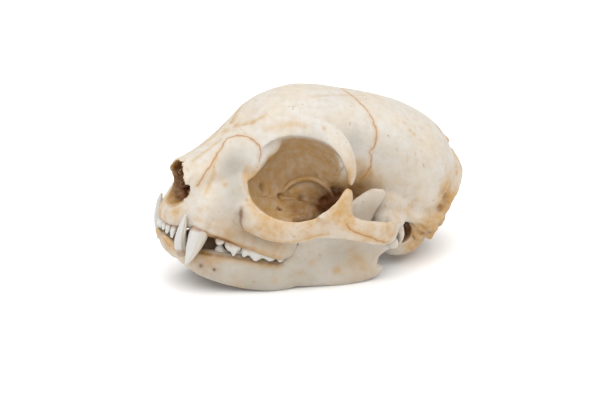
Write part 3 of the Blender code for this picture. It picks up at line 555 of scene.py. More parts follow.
# Ochre along cracks, seams and gums, each line with its width and strength
STAIN_LINES = [
    ([
        (6.6, 13.2, 21), (7.5, 12.4, 18.8), (8.4, 12.8, 16.7), (8.5, 11.8, 14.2), (9.6, 10.6, 11.6),
    ], 0.7, 0.5),
    ([
        (23.5, 24.2, 2.4), (25.2, 27.4, 1.6), (27.2, 31, 1.8), (28.8, 33.6, 2.8), (30.2, 36.6, 4.4),
        (31.4, 40.5, 6.2),
    ], 0.6, 0.7),
    ([
        (12.6, 8.8, 0.6), (12.5, 11.6, -0.9), (14.2, 15.3, -1.6), (15.8, 19.3, -2.4),
        (17.8, 23.7, -3.6), (19.5, 28.3, -4.8), (20, 32.2, -5.6),
    ], 0.75, 0.8),
    ([(33.4, 46.4, 8.6), (33.8, 52, 6.6), (33.2, 58, 5)], 0.8, 0.5),
    ([(7.7, 41, 40.7), (6.5, 49.5, 41.3), (5, 55.8, 41), (1.6, 62.1, 40.5), (0, 66, 40)], 0.6, 0.28),
    ([(0, 80, 36), (0, 86, 33.4), (0, 92, 29.6), (1, 95.5, 25)], 1.4, 0.6),
    ([(10.6, 26, 31), (12, 29.8, 33.1), (13.1, 33.1, 33.7), (14.4, 36.4, 33.6)], 1, 0.5),
    ([(1.8, 20.4, 29.6), (3.8, 21.8, 30.8), (5.8, 23.4, 32), (7.4, 26.4, 34.4)], 0.5, 0.6),
    ([(3, 8, 18.8), (2.4, 12, 22), (2.2, 16, 25.6)], 0.6, 0.5),
    ([
        (9.2, 10.6, -7), (11.2, 14, -7.2), (13, 18, -7.3), (15, 23, -7.5), (16.8, 28, -7.9),
        (18.2, 33, -8),
    ], 1.2, 0.9),
    ([
        (12.8, 22.8, 11), (17.5, 21.4, 10.4), (20.7, 22, 9), (23.2, 24.9, 8.2), (26, 30.5, 8.4),
        (28.6, 36, 10.2), (30.4, 40.6, 12.4),
    ], 1.5, 0.62),
]
# Each spot: x, y, z, radius, strength
OCHRE_SPOTS = [
    (1.5, 20.7, 30, 1.2, 0.7), (3.6, 22.2, 31.2, 1, 0.6), (5.8, 23.7, 32.1, 1.2, 0.5),
    (7.1, 26.6, 34.6, 1.3, 0.3), (0.4, 18.2, 27.8, 1.3, 0.5), (18.1, 41.1, 34.2, 0.6, 0.8),
    (15.2, 69.2, 35.9, 0.6, 0.8), (17.2, 70.5, 34.1, 0.5, 0.8), (17.9, 71.7, 33.1, 0.6, 0.8),
    (21.3, 71.2, 27.9, 0.45, 0.8), (21.8, 68.7, 26.8, 1.1, 0.3), (22, 71.7, 25, 1.2, 0.3),
    (22.3, 67.1, 19.4, 1.4, 0.3), (22.3, 74, 17.6, 1.2, 0.35), (21.7, 74.1, 13.6, 1.6, 0.45),
    (22.5, 71.5, 10.6, 1.8, 0.5), (18, 54.3, 23.5, 2.2, 0.5), (18.8, 57.8, 20.6, 2.6, 0.55),
    (19.8, 60.4, 18.5, 2.4, 0.45), (17.5, 57.3, 15.8, 2.8, 0.8), (17.1, 53.8, 17.5, 2.6, 0.8),
    (33.2, 59.1, 8.7, 2, 0.5), (32.5, 61.7, 5.9, 1.6, 0.6), (30.9, 63.5, 8.5, 2, 0.5),
    (26.4, 66.7, 9.4, 2, 0.35), (30.6, 45.1, 17, 2, 0.7), (31.5, 43.9, 13.6, 2.4, 0.8),
    (32.3, 46.5, 11.4, 1.6, 0.7), (29.8, 46, 19.2, 1.2, 1), (32, 40.8, 11.3, 1.6, 0.5),
    (10.8, 15.6, 14.1, 0.7, 0.6), (14, 19, 14.3, 0.8, 0.45), (9.3, 15, 15.8, 1.3, 0.3),
    (11.2, 8.4, 6.6, 1.2, 0.3), (11.5, 8.2, 3.8, 1.2, 0.4), (5, 3.4, 3.4, 1.6, 0.5),
    (2, 2.6, 1, 1.6, 0.7), (18.4, 32.6, -13, 1, 0.5), (22.2, 50.8, -8.7, 1.2, 0.9),
    (22.6, 56, -4.6, 1.8, 0.5), (22.3, 54, -2.1, 1.2, 0.3), (20.1, 39.7, -10.4, 1.4, 0.35),
    (21.3, 42.4, -6.2, 1.6, 0.3), (23.2, 59.1, -6.9, 1.8, 0.4), (3, 1.3, -4.6, 2.4, 0.9),
    (5.9, 2.9, -6, 2, 0.9), (8.6, 4.4, -7, 1.8, 0.8), (14.5, 23, -16.6, 3, 0.3),
    (10, 85.5, 32.4, 1.4, 0.8), (18.9, 84.4, 22.9, 0.8, 0.6), (11.6, 92.6, 19.4, 0.8, 0.8),
    (19.5, 84.1, 15.4, 2, 0.8), (28.5, 36.2, 7.2, 2.2, 0.35), (9.4, 10.6, -7, 2.4, 0.8),
    (12.4, 14.6, -8.6, 1.6, 0.6), (25.4, 28, 5.4, 2.2, 0.3), (13, 17, 0.5, 1.6, 0.4),
    (19.8, 20.2, 3.2, 1.6, 0.5), (20.1, 60.5, -0.5, 2, 0.5),
]
# Dark brown spots. Several are painted shade: the nerve holes of the eye socket and the chin, the groove
# beside the root of the arch, and the wide faint spots low on the upper and lower jaws.
UMBER_SPOTS = [
    (12, 50.4, 9.6, 3, 0.75), (15, 50.5, 13.6, 2.4, 0.35), (10.4, 34.6, 6.6, 0.6, 1),
    (7.1, 35.6, 9.8, 0.55, 0.8), (8.4, 42.2, 9, 0.7, 0.7), (7.2, 38.6, 10.4, 0.8, 0.4),
    (11.4, 48.6, 9.6, 1.2, 0.6), (7, 29.6, 12.6, 1, 0.4), (17.6, 19.6, 7.2, 1.6, 0.35),
    (16.4, 17.4, 6.6, 1.2, 0.3), (9.8, 12, -11.1, 0.75, 1), (11.6, 15.6, -11.7, 0.55, 0.9),
    (17.6, 56, 16.6, 3.4, 0.42), (18.2, 56.4, 20.8, 2.8, 0.2), (17.5, 87.6, 11, 2.4, 0.3),
    (20, 80.5, 3, 2.4, 0.25), (14.5, 17.5, 0.5, 4.5, 0.15), (17.5, 24, -0.5, 4.5, 0.15),
    (10.5, 11.5, -10, 4, 0.17), (14.5, 17, -11.5, 5, 0.1), (24, 74, 3, 2.4, 0.6),
    (17.4, 34, -4.8, 1, 0.4), (19.2, 84.2, 15.6, 1.2, 0.4), (18.6, 85, 10, 1.2, 0.5),
]
# The gum line of the lower jaw, dark under the edges of the upper teeth, and the streak beside the root
# of the arch, which is the painted shade of the groove there
UMBER_LINES = [
    ([
        (9.2, 10.6, -6.8), (11.2, 14, -7), (13, 18, -7), (15, 23, -7.2), (16.8, 28, -7.6),
        (18.2, 33, -7.6),
    ], 0.7, 0.5),
    ([(17, 18.4, 9.4), (17.2, 18.6, 7.2), (17.6, 18.9, 4.8), (18.2, 19.3, 3)], 0.75, 0.55),
    ([(13.5, 13, -1.3), (14.6, 16, -1.9), (16.2, 20, -3)], 0.5, 0.35),
    ([(17, 25, -4.6), (19, 28.5, -5.4), (20, 32, -6)], 0.5, 0.3),
    ([(22.2, 75, 3.6), (20.6, 79.4, 2.2), (18.8, 83.2, 2.6)], 0.6, 0.4),
]
# Cooler and greyer where the bone is thin; on the lower jaw and under the root of the cheek arch the
# grey is painted shade
GREY_SPOTS = [
    (10.2, 17.4, 20.4, 4.6, 0.95), (13, 18, 13, 4.5, 0.6), (22.6, 57, 12, 5, 0.35),
    (12.6, 13.4, -12, 6, 0.6), (16, 26, -14, 8, 0.8), (20.4, 62, 29, 5, 0.25), (17.8, 53, 31, 3.5, 0.4),
    (20, 40, -10, 8, 0.6), (22.5, 54, -4, 8, 0.6), (22, 66, 20, 9, 0.3), (15.5, 20, 1.5, 5.5, 0.8),
    (17.6, 30, -1, 5, 0.6),
]
# Wide soft yellowing: cheek bone and arch, ear region and nape, gums, lower edges
WARM_SPOTS = [
    (24, 24.5, 4.5, 4, 0.5), (24.9, 48.6, 21.4, 3.2, 0.5), (30.5, 45, 15, 4, 0.3),
    (31.5, 43, 11.5, 5, 0.6), (27.5, 34, 5, 6, 0.42), (22, 26, 6, 4.5, 0.5), (33, 53, 6.5, 6.5, 0.45),
    (31, 61, 6, 4, 0.3), (19.5, 80, 4, 6, 0.5), (15.5, 88, 9.5, 5, 0.5), (21, 66, 14, 6.5, 0.28),
    (24, 47.6, 25.5, 4, 0.3), (13, 12, 1.5, 5, 0.22), (16.5, 20, 1, 5.5, 0.35),
    (18.5, 30, -2.5, 5, 0.45), (18.6, 55, 19, 4.5, 0.35), (22, 54, 5, 6, 0.25), (5.5, 5, 3, 4, 0.3),
    (18, 76, -1.5, 4.5, 0.3), (22.6, 60, -9, 6, 0.3), (4, 3, -7, 4, 0.4), (11, 12, -9, 4.5, 0.3),
    (1, 94, 22, 6, 0.3),
]


def off_surface(away, normals, depth=2.0):
    """Length of each way measured along the surface, and a share that is 0 for what lies deeper."""
    height = (away * normals).sum(axis=1)
    flat = np.linalg.norm(away - height[:, None] * normals, axis=1)
    return flat, ramp(np.abs(height), depth, 0.7 * depth)


def polyline_distance(points, normals, line):
    """Distance along the surface from each point to a line of straight pieces."""
    best = np.full(len(points), FAR)
    for one, two in zip(line, line[1:]):
        one, two = np.array(one, float), np.array(two, float)
        along = two - one
        t = np.clip((points - one) @ along / (along @ along), 0.0, 1.0)
        flat, share = off_surface(points - (one + t[:, None] * along), normals)
        best = np.minimum(best, np.where(share > 0, flat + 3.0 * (1 - share), FAR))
    return best


def dab(points, normals, spot, radius):
    """1 at the spot, falling off along the surface."""
    flat, share = off_surface(points - spot, normals, max(2.0, 1.4 * radius))
    return share * np.exp(-np.square(flat / radius))


def hollowness(thing, points, normals, rounds=10):
    """Above 0 where the surface is a dent and below 0 on edges, from the drift of a softened copy."""
    edges = np.empty(len(thing.data.edges) * 2, int)
    thing.data.edges.foreach_get("vertices", edges)
    one, two = edges.reshape(-1, 2).T
    count = np.bincount(one, minlength=len(points)) + np.bincount(two, minlength=len(points))
    soft = points.copy()
    for _ in range(rounds):
        total = np.empty_like(soft)
        for k in range(3):
            total[:, k] = np.bincount(one, soft[two, k], len(points))
            total[:, k] += np.bincount(two, soft[one, k], len(points))
        soft = 0.4 * soft + 0.6 * total / count[:, None]
    return ((soft - points) * normals).sum(axis=1)


def inside(points, normals, centre, half, turn):
    """1 on the wall of a hollow of that egg shape, 0 elsewhere, and the points in the egg's own axes."""
    own = (points - np.array(centre)) @ np.array(turn.to_3x3().inverted()).T / half
    facing = ((np.array(centre) - points) * normals).sum(axis=1)
    return ramp(np.linalg.norm(own, axis=1), 1.17, 1.07) * ramp(facing, -0.4, 0.6), own


def painted(thing):
    """Stores on the bone how near a seam it is, and how ochre, brown, grey and coarse it is there, part
    of it painted shade.
    """
    points, normals = read_points(thing)
    left = np.column_stack((np.where(points[:, 0] < 0, -normals[:, 0], normals[:, 0]), normals[:, 1:]))
    side = folded(points)
    x, y, z = side.T
    wander = np.column_stack([grain(side, 1.3, seed) for seed in (31, 32, 33)]) * 0.3
    seam = np.full(len(points), 4.0)
    for line in SEAM_LINES:
        seam = np.minimum(seam, polyline_distance(side + wander, left, line))
    crust = coarse(side)
    dent = hollowness(thing, points, normals)
    patchy = 0.5 + 0.5 * grain(side, 2.6, 34)
    # Ochre gathers in dents: soil stain, and painted shade in the hollows
    ochre = crust * (0.6 + 0.8 * patchy) + 0.7 * ramp(dent, 0.12, 0.6)
    for line, width, strength in STAIN_LINES:
        ochre += strength * np.exp(-np.square(polyline_distance(side, left, line) / width))
    for *spot, radius, strength in OCHRE_SPOTS:
        ochre += strength * dab(side, left, spot, radius)
    for *spot, radius, strength in WARM_SPOTS:
        ochre += strength * (0.8 + 0.7 * patchy) * near(side, spot, radius)
    # Brown in dents and coarse hollows: stain, and painted shade
    umber = 0.3 * crust * ramp(dent, -0.02, 0.3) + 0.4 * ramp(dent, 0.4, 1.0)
    for *spot, radius, strength in UMBER_SPOTS:
        umber += strength * dab(side, left, spot, radius)
    for line, width, strength in UMBER_LINES:
        umber += strength * np.exp(-np.square(polyline_distance(side, left, line) / width))
    grey = np.zeros(len(points))
    for *spot, radius, strength in GREY_SPOTS:
        grey += strength * near(side, spot, radius)
    # The eye socket is brown inside, partly stain and partly painted shade: darkest deep at its back at
    # the holes of the nerves and darker towards its floor. The wall behind it, inside the cheek arch,
    # gets the same colour, also partly painted shade
    socket, own = inside(side, left, ORBIT_CENTRE, ORBIT_HALF, ORBIT_TURN)
    socket *= ramp(-own[:, 2] + 0.12 * ramp(y, 40.0, 47.0), -0.02, 0.16)
    behind = ramp(x, 19.0, 16.5) * ramp(y, 31.5, 34.5) * ramp(y, 62.0, 55.0)
    behind *= ramp(z, 0.2, 1.6) * ramp(z, 21.0, 14.0) * ramp(left[:, 0] + left[:, 2], -0.3, 0.1)
    socket = np.maximum(socket, behind)
    deep = np.exp(-np.square((side - (13.5, 50.5, 11.5)) / (6.0, 7.0, 5.5)).sum(axis=1))
    low = ramp(z, 12.0, 6.0) * ramp(y, 34.0, 40.0)
    streaks = 0.5 + 0.5 * grain(np.column_stack((own[:, 0] * 4, own[:, 1] * 4, own[:, 2] * 22)), 1.0, 35)
    ochre += socket * (0.9 + 0.5 * streaks + 0.25 * ramp(z, 22.0, 14.0))
    umber += socket * (0.02 + 0.16 * patchy * streaks + 0.62 * deep + 0.5 * low)
    # The nose, brown from its edge inwards and darker deeper in: painted shade, like the brown inside
    # the spinal hole and the ear hole
    nose = inside(side, left, *NOSE_HOLE)[0] * ramp(y, 2.6, 4.4)
    nose = np.maximum(nose, inside(side, left, *NOSE_DEPTH)[0])
    spine = inside(side, left, *SPINE_HOLE)[0] * ramp(94.0 - y, 0.0, 2.0)
    ear = inside(side, left, EAR_HOLE, EAR_HOLE_HALF, Matrix())[0] * ramp(23.0 - x, 0.0, 1.0)
    ear = np.maximum(ear, near(side, tuple(EAR_HOLE - Vector((3.0, 0, 0))), 2.6))
    # Painted shade: brown on the roof of the mouth and on the inner side of the lower jaw, seen through
    # the gaps between the teeth
    mouth = ramp(left[:, 2], -0.2, -0.6) * ramp(18.5 - x, 0.0, 1.0) * ramp(z, -4.5, -2.5)
    mouth *= ramp(y, 44.0, 40.0) * ramp(1.4 - z, 0.0, 0.8) * ramp(y, 8.0, 11.0)
    tongue_side = ramp(left[:, 0], 0.0, -0.4) * ramp(z, -16.5, -14.0) * ramp(-2.0 - z, 0.0, 2.0)
    mouth = np.maximum(mouth, tongue_side * ramp(y, 42.0, 36.0) * ramp(y, 4.0, 7.0))
    umber += nose * (0.22 + 0.85 * ramp(y, 4.6, 8.0)) + 0.8 * spine + 0.8 * ear + 0.5 * mouth
    ochre += 1.9 * nose + 0.8 * mouth + 0.8 * ear
    ochre = 1.1 * (1.0 - np.exp(-ochre))
    fields = {"seam": seam, "ochre": ochre, "umber": umber, "grey": grey, "crust": crust}
    for name, values in fields.items():
        layer = thing.data.attributes.new(name, "FLOAT", "POINT")
        layer.data.foreach_set("value", np.clip(values, 0.0, 4.0).astype(np.float32))


def colour(text):
    """A colour written as sRGB hex, as the linear values that nodes want."""
    channels = [int(text[k:k + 2], 16) / 255 for k in (1, 3, 5)]
    return (*[c / 12.92 if c <= 0.04045 else ((c + 0.055) / 1.055) ** 2.4 for c in channels], 1.0)


def node(tree, kind, inputs=None, **settings):
    """Adds a node with its settings, values and links."""
    made = tree.nodes.new(kind)
    for key, value in settings.items():
        setattr(made, key, value)
    for key, value in (inputs or {}).items():
        if isinstance(value, bpy.types.NodeSocket):
            tree.links.new(value, made.inputs[key])
        else:
            made.inputs[key].default_value = value
    return made


def new_material(name):
    """A new material, its node tree and its shader."""
    made = bpy.data.materials.new(name)
    made.use_nodes = True
    return made, made.node_tree, made.node_tree.nodes["Principled BSDF"]


# Dry bone gives a soft, matt, slightly see-through surface with fine pores.
dry_bone, tree, shader = new_material("dry_weathered_bone")
where = node(tree, "ShaderNodeTexCoord").outputs["Object"]
weathering_and_shade = {
    name: node(tree, "ShaderNodeAttribute", attribute_name=name).outputs["Fac"]
    for name in ("seam", "ochre", "umber", "grey", "crust")
}
# Clouds about 12 mm wide, mottling of 2.5 mm, pores of 0.35 mm, a wobble of 1 mm for the seams and
# lumps of 1.6 mm whose peaks are the flecks, each with its scale, detail and roughness
noise = {}
for name, scale, detail, roughness in (
    ("clouds", 85.0, 3.0, 0.6), ("mottle", 400.0, 4.0, 0.62), ("pores", 2800.0, 2.0, 0.6),
    ("wobble", 950.0, 2.0, 0.5), ("flecks", 620.0, 1.0, 0.4),
):
    inputs = {"Vector": where, "Scale": scale, "Detail": detail, "Roughness": roughness}
    noise[name] = node(tree, "ShaderNodeTexNoise", inputs).outputs["Fac"]
# A seam is a wavering line half a millimetre wide with a faint rusty edge
inputs = {0: noise["wobble"], 1: 0.3, 2: -0.15}
shifted = node(tree, "ShaderNodeMath", inputs, operation="MULTIPLY_ADD").outputs[0]
strayed = node(tree, "ShaderNodeMath", {0: weathering_and_shade["seam"], 1: shifted}, operation="ADD").outputs[0]
# How far each layer covers the bone, how unevenly stains hold and how rough the surface is: what each
# follows, where that starts and ends, and its two values
LEVELS = ("From Min", "From Max", "To Min", "To Max")
share = {}
for name, source, kind, *levels in (
    ("cloud", noise["clouds"], "LINEAR", 0.35, 0.65, 0.0, 1.0),
    ("mottle", noise["mottle"], "LINEAR", 0.42, 0.72, 0.0, 0.6),
    ("uneven", noise["mottle"], "LINEAR", 0.3, 0.7, 0.66, 1.2),
    ("fleck", noise["flecks"], "LINEAR", 0.72, 0.78, 0.0, 0.4),
    ("gloss", noise["mottle"], "LINEAR", 0.0, 1.0, 0.46, 0.68),
    ("line", strayed, "SMOOTHSTEP", 0.08, 0.4, 0.62, 0.0),
    ("edge", strayed, "SMOOTHSTEP", 0.2, 1.4, 0.32, 0.0),
):
    inputs = {"Value": source, **dict(zip(LEVELS, levels))}
    share[name] = node(tree, "ShaderNodeMapRange", inputs, interpolation_type=kind).outputs["Result"]
# Stains, and the painted shade carried in the same layers, hold unevenly, so their shares are multiplied
# by mottling
for name, factor in (("grey", 0.8), ("ochre", share["uneven"]), ("umber", share["uneven"])):
    inputs = {0: weathering_and_shade[name], 1: factor}
    share[name] = node(tree, "ShaderNodeMath", inputs, operation="MULTIPLY", use_clamp=True).outputs[0]
# Layers of colour over the bare bone, some of the grey, ochre and umber being painted shade
body = colour("#bcb9b4")
for name, code in {
    "cloud": "#bfb5a6", "mottle": "#b1a38e", "grey": "#938d81", "ochre": "#ac8548", "umber": "#5d3206",
    "edge": "#ba925e", "line": "#8c5c2a", "fleck": "#986a39",
}.items():
    inputs = {0: share[name], 6: body, 7: colour(code)}
    body = node(tree, "ShaderNodeMix", inputs, data_type="RGBA").outputs[2]
tree.links.new(body, shader.inputs["Base Color"])
tree.links.new(share["gloss"], shader.inputs["Roughness"])
# Relief: coarse bone stands out, pores are fine, and seams lie deeper
inputs = {0: noise["mottle"], 1: weathering_and_shade["crust"]}
height = node(tree, "ShaderNodeMath", inputs, operation="MULTIPLY").outputs[0]
for source, depth in ((noise["pores"], 0.3), (share["line"], -0.35)):
    inputs = {0: source, 1: depth, 2: height}
    height = node(tree, "ShaderNodeMath", inputs, operation="MULTIPLY_ADD").outputs[0]
bump = node(tree, "ShaderNodeBump", {"Strength": 0.5, "Distance": 0.00035, "Height": height})
tree.links.new(bump.outputs["Normal"], shader.inputs["Normal"])
for key, value in {
    "IOR": 1.5, "Specular IOR Level": 0.35, "Subsurface Weight": 0.15,
    "Subsurface Radius": (1.0, 0.6, 0.35), "Subsurface Scale": 0.0012,
}.items():
    shader.inputs[key].default_value = value

# From the palate frame to the rest pose: the nose is raised by 9.5 degrees, the jaw's lowest edge
# touches the floor, and millimetres become metres.
NOSE_UP = Matrix.Rotation(math.radians(-9.5), 4, "X")
TO_REST = Matrix.Scale(0.001, 4) @ Matrix.Translation((0.0, -50.5419, 22.3443)) @ NOSE_UP


def set_down(thing, material, slot, *nodes):
    """Shades the piece, sets it in its place on the floor and hangs it on the skull's body."""
    thing.data.materials.clear()
    thing.data.materials.append(material)
    thing.data.transform(TO_REST)
    picked(thing)
    bpy.ops.object.shade_smooth_by_angle(angle=math.radians(60))
    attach(thing, "root")
    if nodes:
        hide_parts(*nodes)


def set_pair(thing, name, slot):
    """Stains a bone and its mirror image and sets each in place of the solid of its name."""
    for piece, end in zip(both(thing), ("_left", "_right")):
        piece.name = name + end + "_bone"
        painted(piece)
        set_down(piece, dry_bone, slot, name + end)


for name, plate in plates.items():
    painted(plate)
    set_down(plate, dry_bone, "tooth_bone" if name == "muzzle" else "bone", name)

# Ear capsules: thin blown bubbles of bone under the back of the skull, each with the raised ring and
# the hole of the outer ear on its outer side.
capsule = egg("auditory_bulla_left_bone", BULLA_CENTRE, BULLA_HALF, BULLA_TURN)
RING_HALF = (3.0, 3.7)  # along the skull and upwards
RING_WALL = (0.55, 0.8)  # half thickness across the ring and half depth
RING_STEPS = 32
rings = []
for k in range(RING_STEPS + 1):
    # A little more than half a circle, open towards the front
    turn = math.pi * (k / RING_STEPS * 1.16 - 0.83)
    middle = Vector((0.0, RING_HALF[0] * math.cos(turn), RING_HALF[1] * math.sin(turn)))
    middle += EAR_HOLE + Vector((-0.9, 0.0, 0.0))
    across = (middle - EAR_HOLE).normalized() * RING_WALL[0]
    deep = Vector((RING_WALL[1], 0.0, 0.0))
    turns = [math.tau * i / 12 for i in range(12)]
    rings.append([middle + across * math.cos(a) + deep * math.sin(a) for a in turns])
ring = skin("ear_ring", rings)
capsule = melted(joined("auditory_bulla_left_bone", [capsule, ring]), voxel=0.3, smoothing=3)
carved(capsule, [egg("ear_cut", EAR_HOLE, (6.6, 2.4, 3.0))])
melted(capsule, voxel=0.3, smoothing=2)
points, normals = read_points(capsule)
push = 0.12 * grain(points, 4.0, 11) + 0.06 * grain(points, 1.4, 12)
pushed(capsule, points, normals, push)
set_pair(capsule, "auditory_bulla", "ear_bone")

# Lower jaw: two bones joined by gristle at the chin, which has dried to a thin seam. Each has a thick
# lower edge, a thin high plate behind the teeth for the jaw muscle, and a roller for the hinge.
# Each row of the body: y, x of its middle, half thickness, bottom, top
JAW_BODY = [
    (2, 1.9, 1.3, -5, -3.9), (3, 2.7, 2.1, -6.4, -4.3), (4.6, 3.7, 3, -8.2, -5),
    (7, 4.9, 3.3, -10.6, -6.4), (9.8, 6.3, 2.9, -12.9, -7), (13, 8, 2.8, -14.8, -6.6),
    (18, 10.4, 2.9, -16.4, -6.5), (24, 12.8, 2.9, -17.3, -6.6), (31, 15.2, 2.9, -17.5, -7.1),
    (36, 16.5, 2.7, -16.8, -7.2), (39, 17.5, 2.5, -16.2, -4), (43, 18.5, 2.3, -15.4, -1.4),
    (48, 19.8, 1.9, -14.6, 0), (54, 21, 1.7, -13.7, 0), (60, 21.8, 1.5, -12.7, 0),
    (63.6, 22, 1.3, -11.7, -1.6),
]
# Each row of the high plate: z, x, y of its middle, half length, half thickness
CORONOID = [
    (-8, 20.2, 50.3, 13.6, 1.6), (-4, 20.6, 50.4, 13.9, 1.7), (-1, 21.2, 50.6, 13, 1.6),
    (1, 21.6, 51.2, 11.2, 1.5), (3, 22, 53, 7.8, 1.4), (6.5, 22.4, 53.4, 5.9, 1.3),
    (10, 22.8, 54.8, 5, 1.2), (13, 23, 56.4, 4.8, 1.2), (15.6, 23.1, 58.4, 3.9, 1.1),
    (17.4, 23.1, 59.6, 2.2, 0.9),
]
JAW_CONDYLE = [
    ((18.4, 67.2, 0.6), 1.6, 1.6), ((21, 66.8, 1), 2, 2), ((24.5, 66.4, 1.2), 2, 2),
    ((27, 66, 1.1), 1.3, 1.4),
]
JAW_NECK = [
    ((21.4, 56, -3), 5, 1.5), ((21.9, 60.5, -2.2), 4, 1.5), ((22.4, 63.6, -0.8), 2.8, 1.7),
    ((22.8, 66, 0.6), 1.9, 1.8),
]
JAW_ANGLE = [
    ((21.4, 58, -9.8), 2.8, 1.5), ((21.7, 62, -9.3), 2.4, 1.5), ((21.9, 64.6, -8.4), 1.9, 1.3),
    ((22, 66, -7.4), 0.9, 0.8),
]
JAW_SWELLINGS = [
    (9.8, 12, -11.1, 0.75, -0.8), (11.6, 15.6, -11.7, 0.55, -0.6), (20.9, 41, -5, 2.6, 0.45),
    (22.4, 46, -11.5, 3, 0.3), (22.6, 54, -11.6, 3.4, 0.35), (7.6, 6.6, -9, 2.2, 0.35),
]
rows = [((x, y, (low + high) / 2), (high - low) / 2, half) for y, x, half, low, high in JAW_BODY]
plate_rings = []
for z, x, y, half_length, half in eased(CORONOID, 60):
    plate_ring = []
    for k in range(28):
        a = math.tau * k / 28
        lean = 0.12 * half_length * math.sin(a)  # the back edge stands further out
        plate_ring.append(Vector((x + half * math.cos(a) + lean, y + half_length * math.sin(a), z)))
    plate_rings.append(plate_ring)
masses = [
    blade("jaw_body", rows, steps=90, points=40),
    skin("jaw_plate", plate_rings),
    blade("jaw_condyle", JAW_CONDYLE, thin=(0, 1, 0)),
    blade("jaw_neck", JAW_NECK),
    blade("jaw_angle", JAW_ANGLE),
    egg("chin", (1.2, 6.8, -8.2), (2.8, 4.9, 3.1), Matrix.Rotation(math.radians(-40), 4, "X")),
]
jaw = melted(joined("mandible_left_bone", masses), voxel=0.4, smoothing=5)
# Hollow for the jaw muscle in the outer side of the high plate
slant = Matrix.Rotation(math.radians(-8), 4, "Z")
carved(jaw, [egg("muscle_cut", (25.5, 51.6, -4.6), (4.2, 11.8, 7.6), slant)])
melted(jaw, VOXEL, smoothing=4)
bpy.ops.object.select_all(action="DESELECT")
bpy.ops.mesh.primitive_cube_add(size=1.0)
middle_cut = bpy.context.object
# It ends 0.1 mm left of the middle, so that the two halves don't touch
block = Matrix.Diagonal((8.0, 38.0, 40.0, 1.0))
middle_cut.data.transform(Matrix.Translation((-3.9, 11.0, -10.0)) @ block)
carved(jaw, [middle_cut])
points, normals = read_points(jaw)
push = 0.1 * grain(points, 5.5, 15) + 0.03 * grain(points, 1.7, 16)
for x, y, z, radius, height in JAW_SWELLINGS:
    push += height * near(points, (x, y, z), radius)
push *= ramp(points[:, 0], 0.2, 1.2)
pushed(jaw, points, normals, push)
set_pair(jaw, "mandible", "tooth_bone")

# Teeth: pegs and blades of enamel over dentine, white at the tip and creamier towards the root, each
# held in its socket in the jaw.
UPPER_CANINE = [
    ((8.8, 13, 7), 2.4, 1.9), ((10.2, 10.8, 2.6), 2.9, 2.1), ((11, 9.3, -0.8), 3, 2),
    ((11.6, 8.2, -4), 2.5, 1.7), ((11.8, 7.2, -7.4), 1.5, 1.15), ((11.6, 6.3, -10.4), 0.35, 0.35),
]
LOWER_CANINE = [
    ((6.4, 8.6, -10.4), 1.8, 1.5), ((7.4, 6.4, -7.2), 2, 1.6), ((8.3, 5.1, -4.4), 1.9, 1.5),
    ((9.2, 4.6, -1.2), 1.5, 1.2), ((9.8, 4.6, 2), 1, 0.9), ((10, 4.9, 4.7), 0.35, 0.35),
]
# Each row of a cheek tooth: y, x, height of its edge, half thickness
UPPER_CHEEK_TEETH = [
    [
        (14.4, 12.2, -2.8, 0.6), (15.3, 12.3, -3.9, 0.9), (16.3, 12.5, -3.8, 0.9),
        (17.1, 12.7, -2.9, 0.6),
    ],
    [
        (17.2, 13, -3.8, 0.7), (18.2, 13.4, -5.2, 1.1), (19.1, 13.6, -5.7, 1.2), (20.1, 13.8, -7, 1.2),
        (21, 14.1, -5.6, 1.1), (21.8, 14.4, -4.6, 0.7),
    ],
    [
        (21.9, 14.6, -4.8, 0.8), (22.9, 15, -6.9, 1.2), (24, 15.5, -6.1, 1.3), (26.2, 16.3, -7.7, 1.4),
        (28.3, 17, -6.5, 1.3), (30.2, 17.5, -7.3, 1.2), (31.9, 18, -6.4, 0.8),
    ],
    [(32.1, 18.2, -6.2, 0.7), (33.2, 18.6, -7.2, 0.9), (34.4, 18.8, -6.2, 0.7)],
]
LOWER_CHEEK_TEETH = [
    [(15.8, 9.5, -6.4, 0.6), (17.4, 9.9, -4.4, 0.9), (18.6, 10.3, -5.8, 0.9), (20.2, 10.8, -6.6, 0.6)],
    [(20.4, 10.9, -6.4, 0.7), (22.4, 11.6, -3.9, 1), (24, 12.1, -5.6, 1), (26, 12.7, -6.6, 0.7)],
    [
        (26.2, 12.7, -6.2, 0.8), (28.2, 13.3, -3.8, 1.1), (29.8, 13.8, -5.4, 1.1),
        (31.4, 14.3, -3.8, 1.1), (33.4, 14.9, -6.6, 0.8),
    ],
]
# Each front tooth of one side: x, y, tip height, half width
INCISORS = [(1.15, 2.6, -3.0, 0.9), (3.2, 3.0, -3.3, 0.95), (5.3, 3.8, -3.9, 1.1)]

# Enamel is hard and half glossy; near the gum it thins and the yellow dentine and old stain show.
enamel, tree, shader = new_material("tooth_enamel")
where = node(tree, "ShaderNodeTexCoord").outputs["Object"]
neck = node(tree, "ShaderNodeAttribute", attribute_name="neck").outputs["Fac"]
cream = node(tree, "ShaderNodeAttribute", attribute_name="cream").outputs["Fac"]
inputs = {"Vector": where, "Scale": 500.0, "Detail": 3.0}
blotches = node(tree, "ShaderNodeTexNoise", inputs).outputs["Fac"]
inputs = {0: blotches, 1: 0.9, 2: -0.45}
ragged = node(tree, "ShaderNodeMath", inputs, operation="MULTIPLY_ADD").outputs[0]
ragged = node(tree, "ShaderNodeMath", {0: neck, 1: ragged}, operation="ADD").outputs[0]
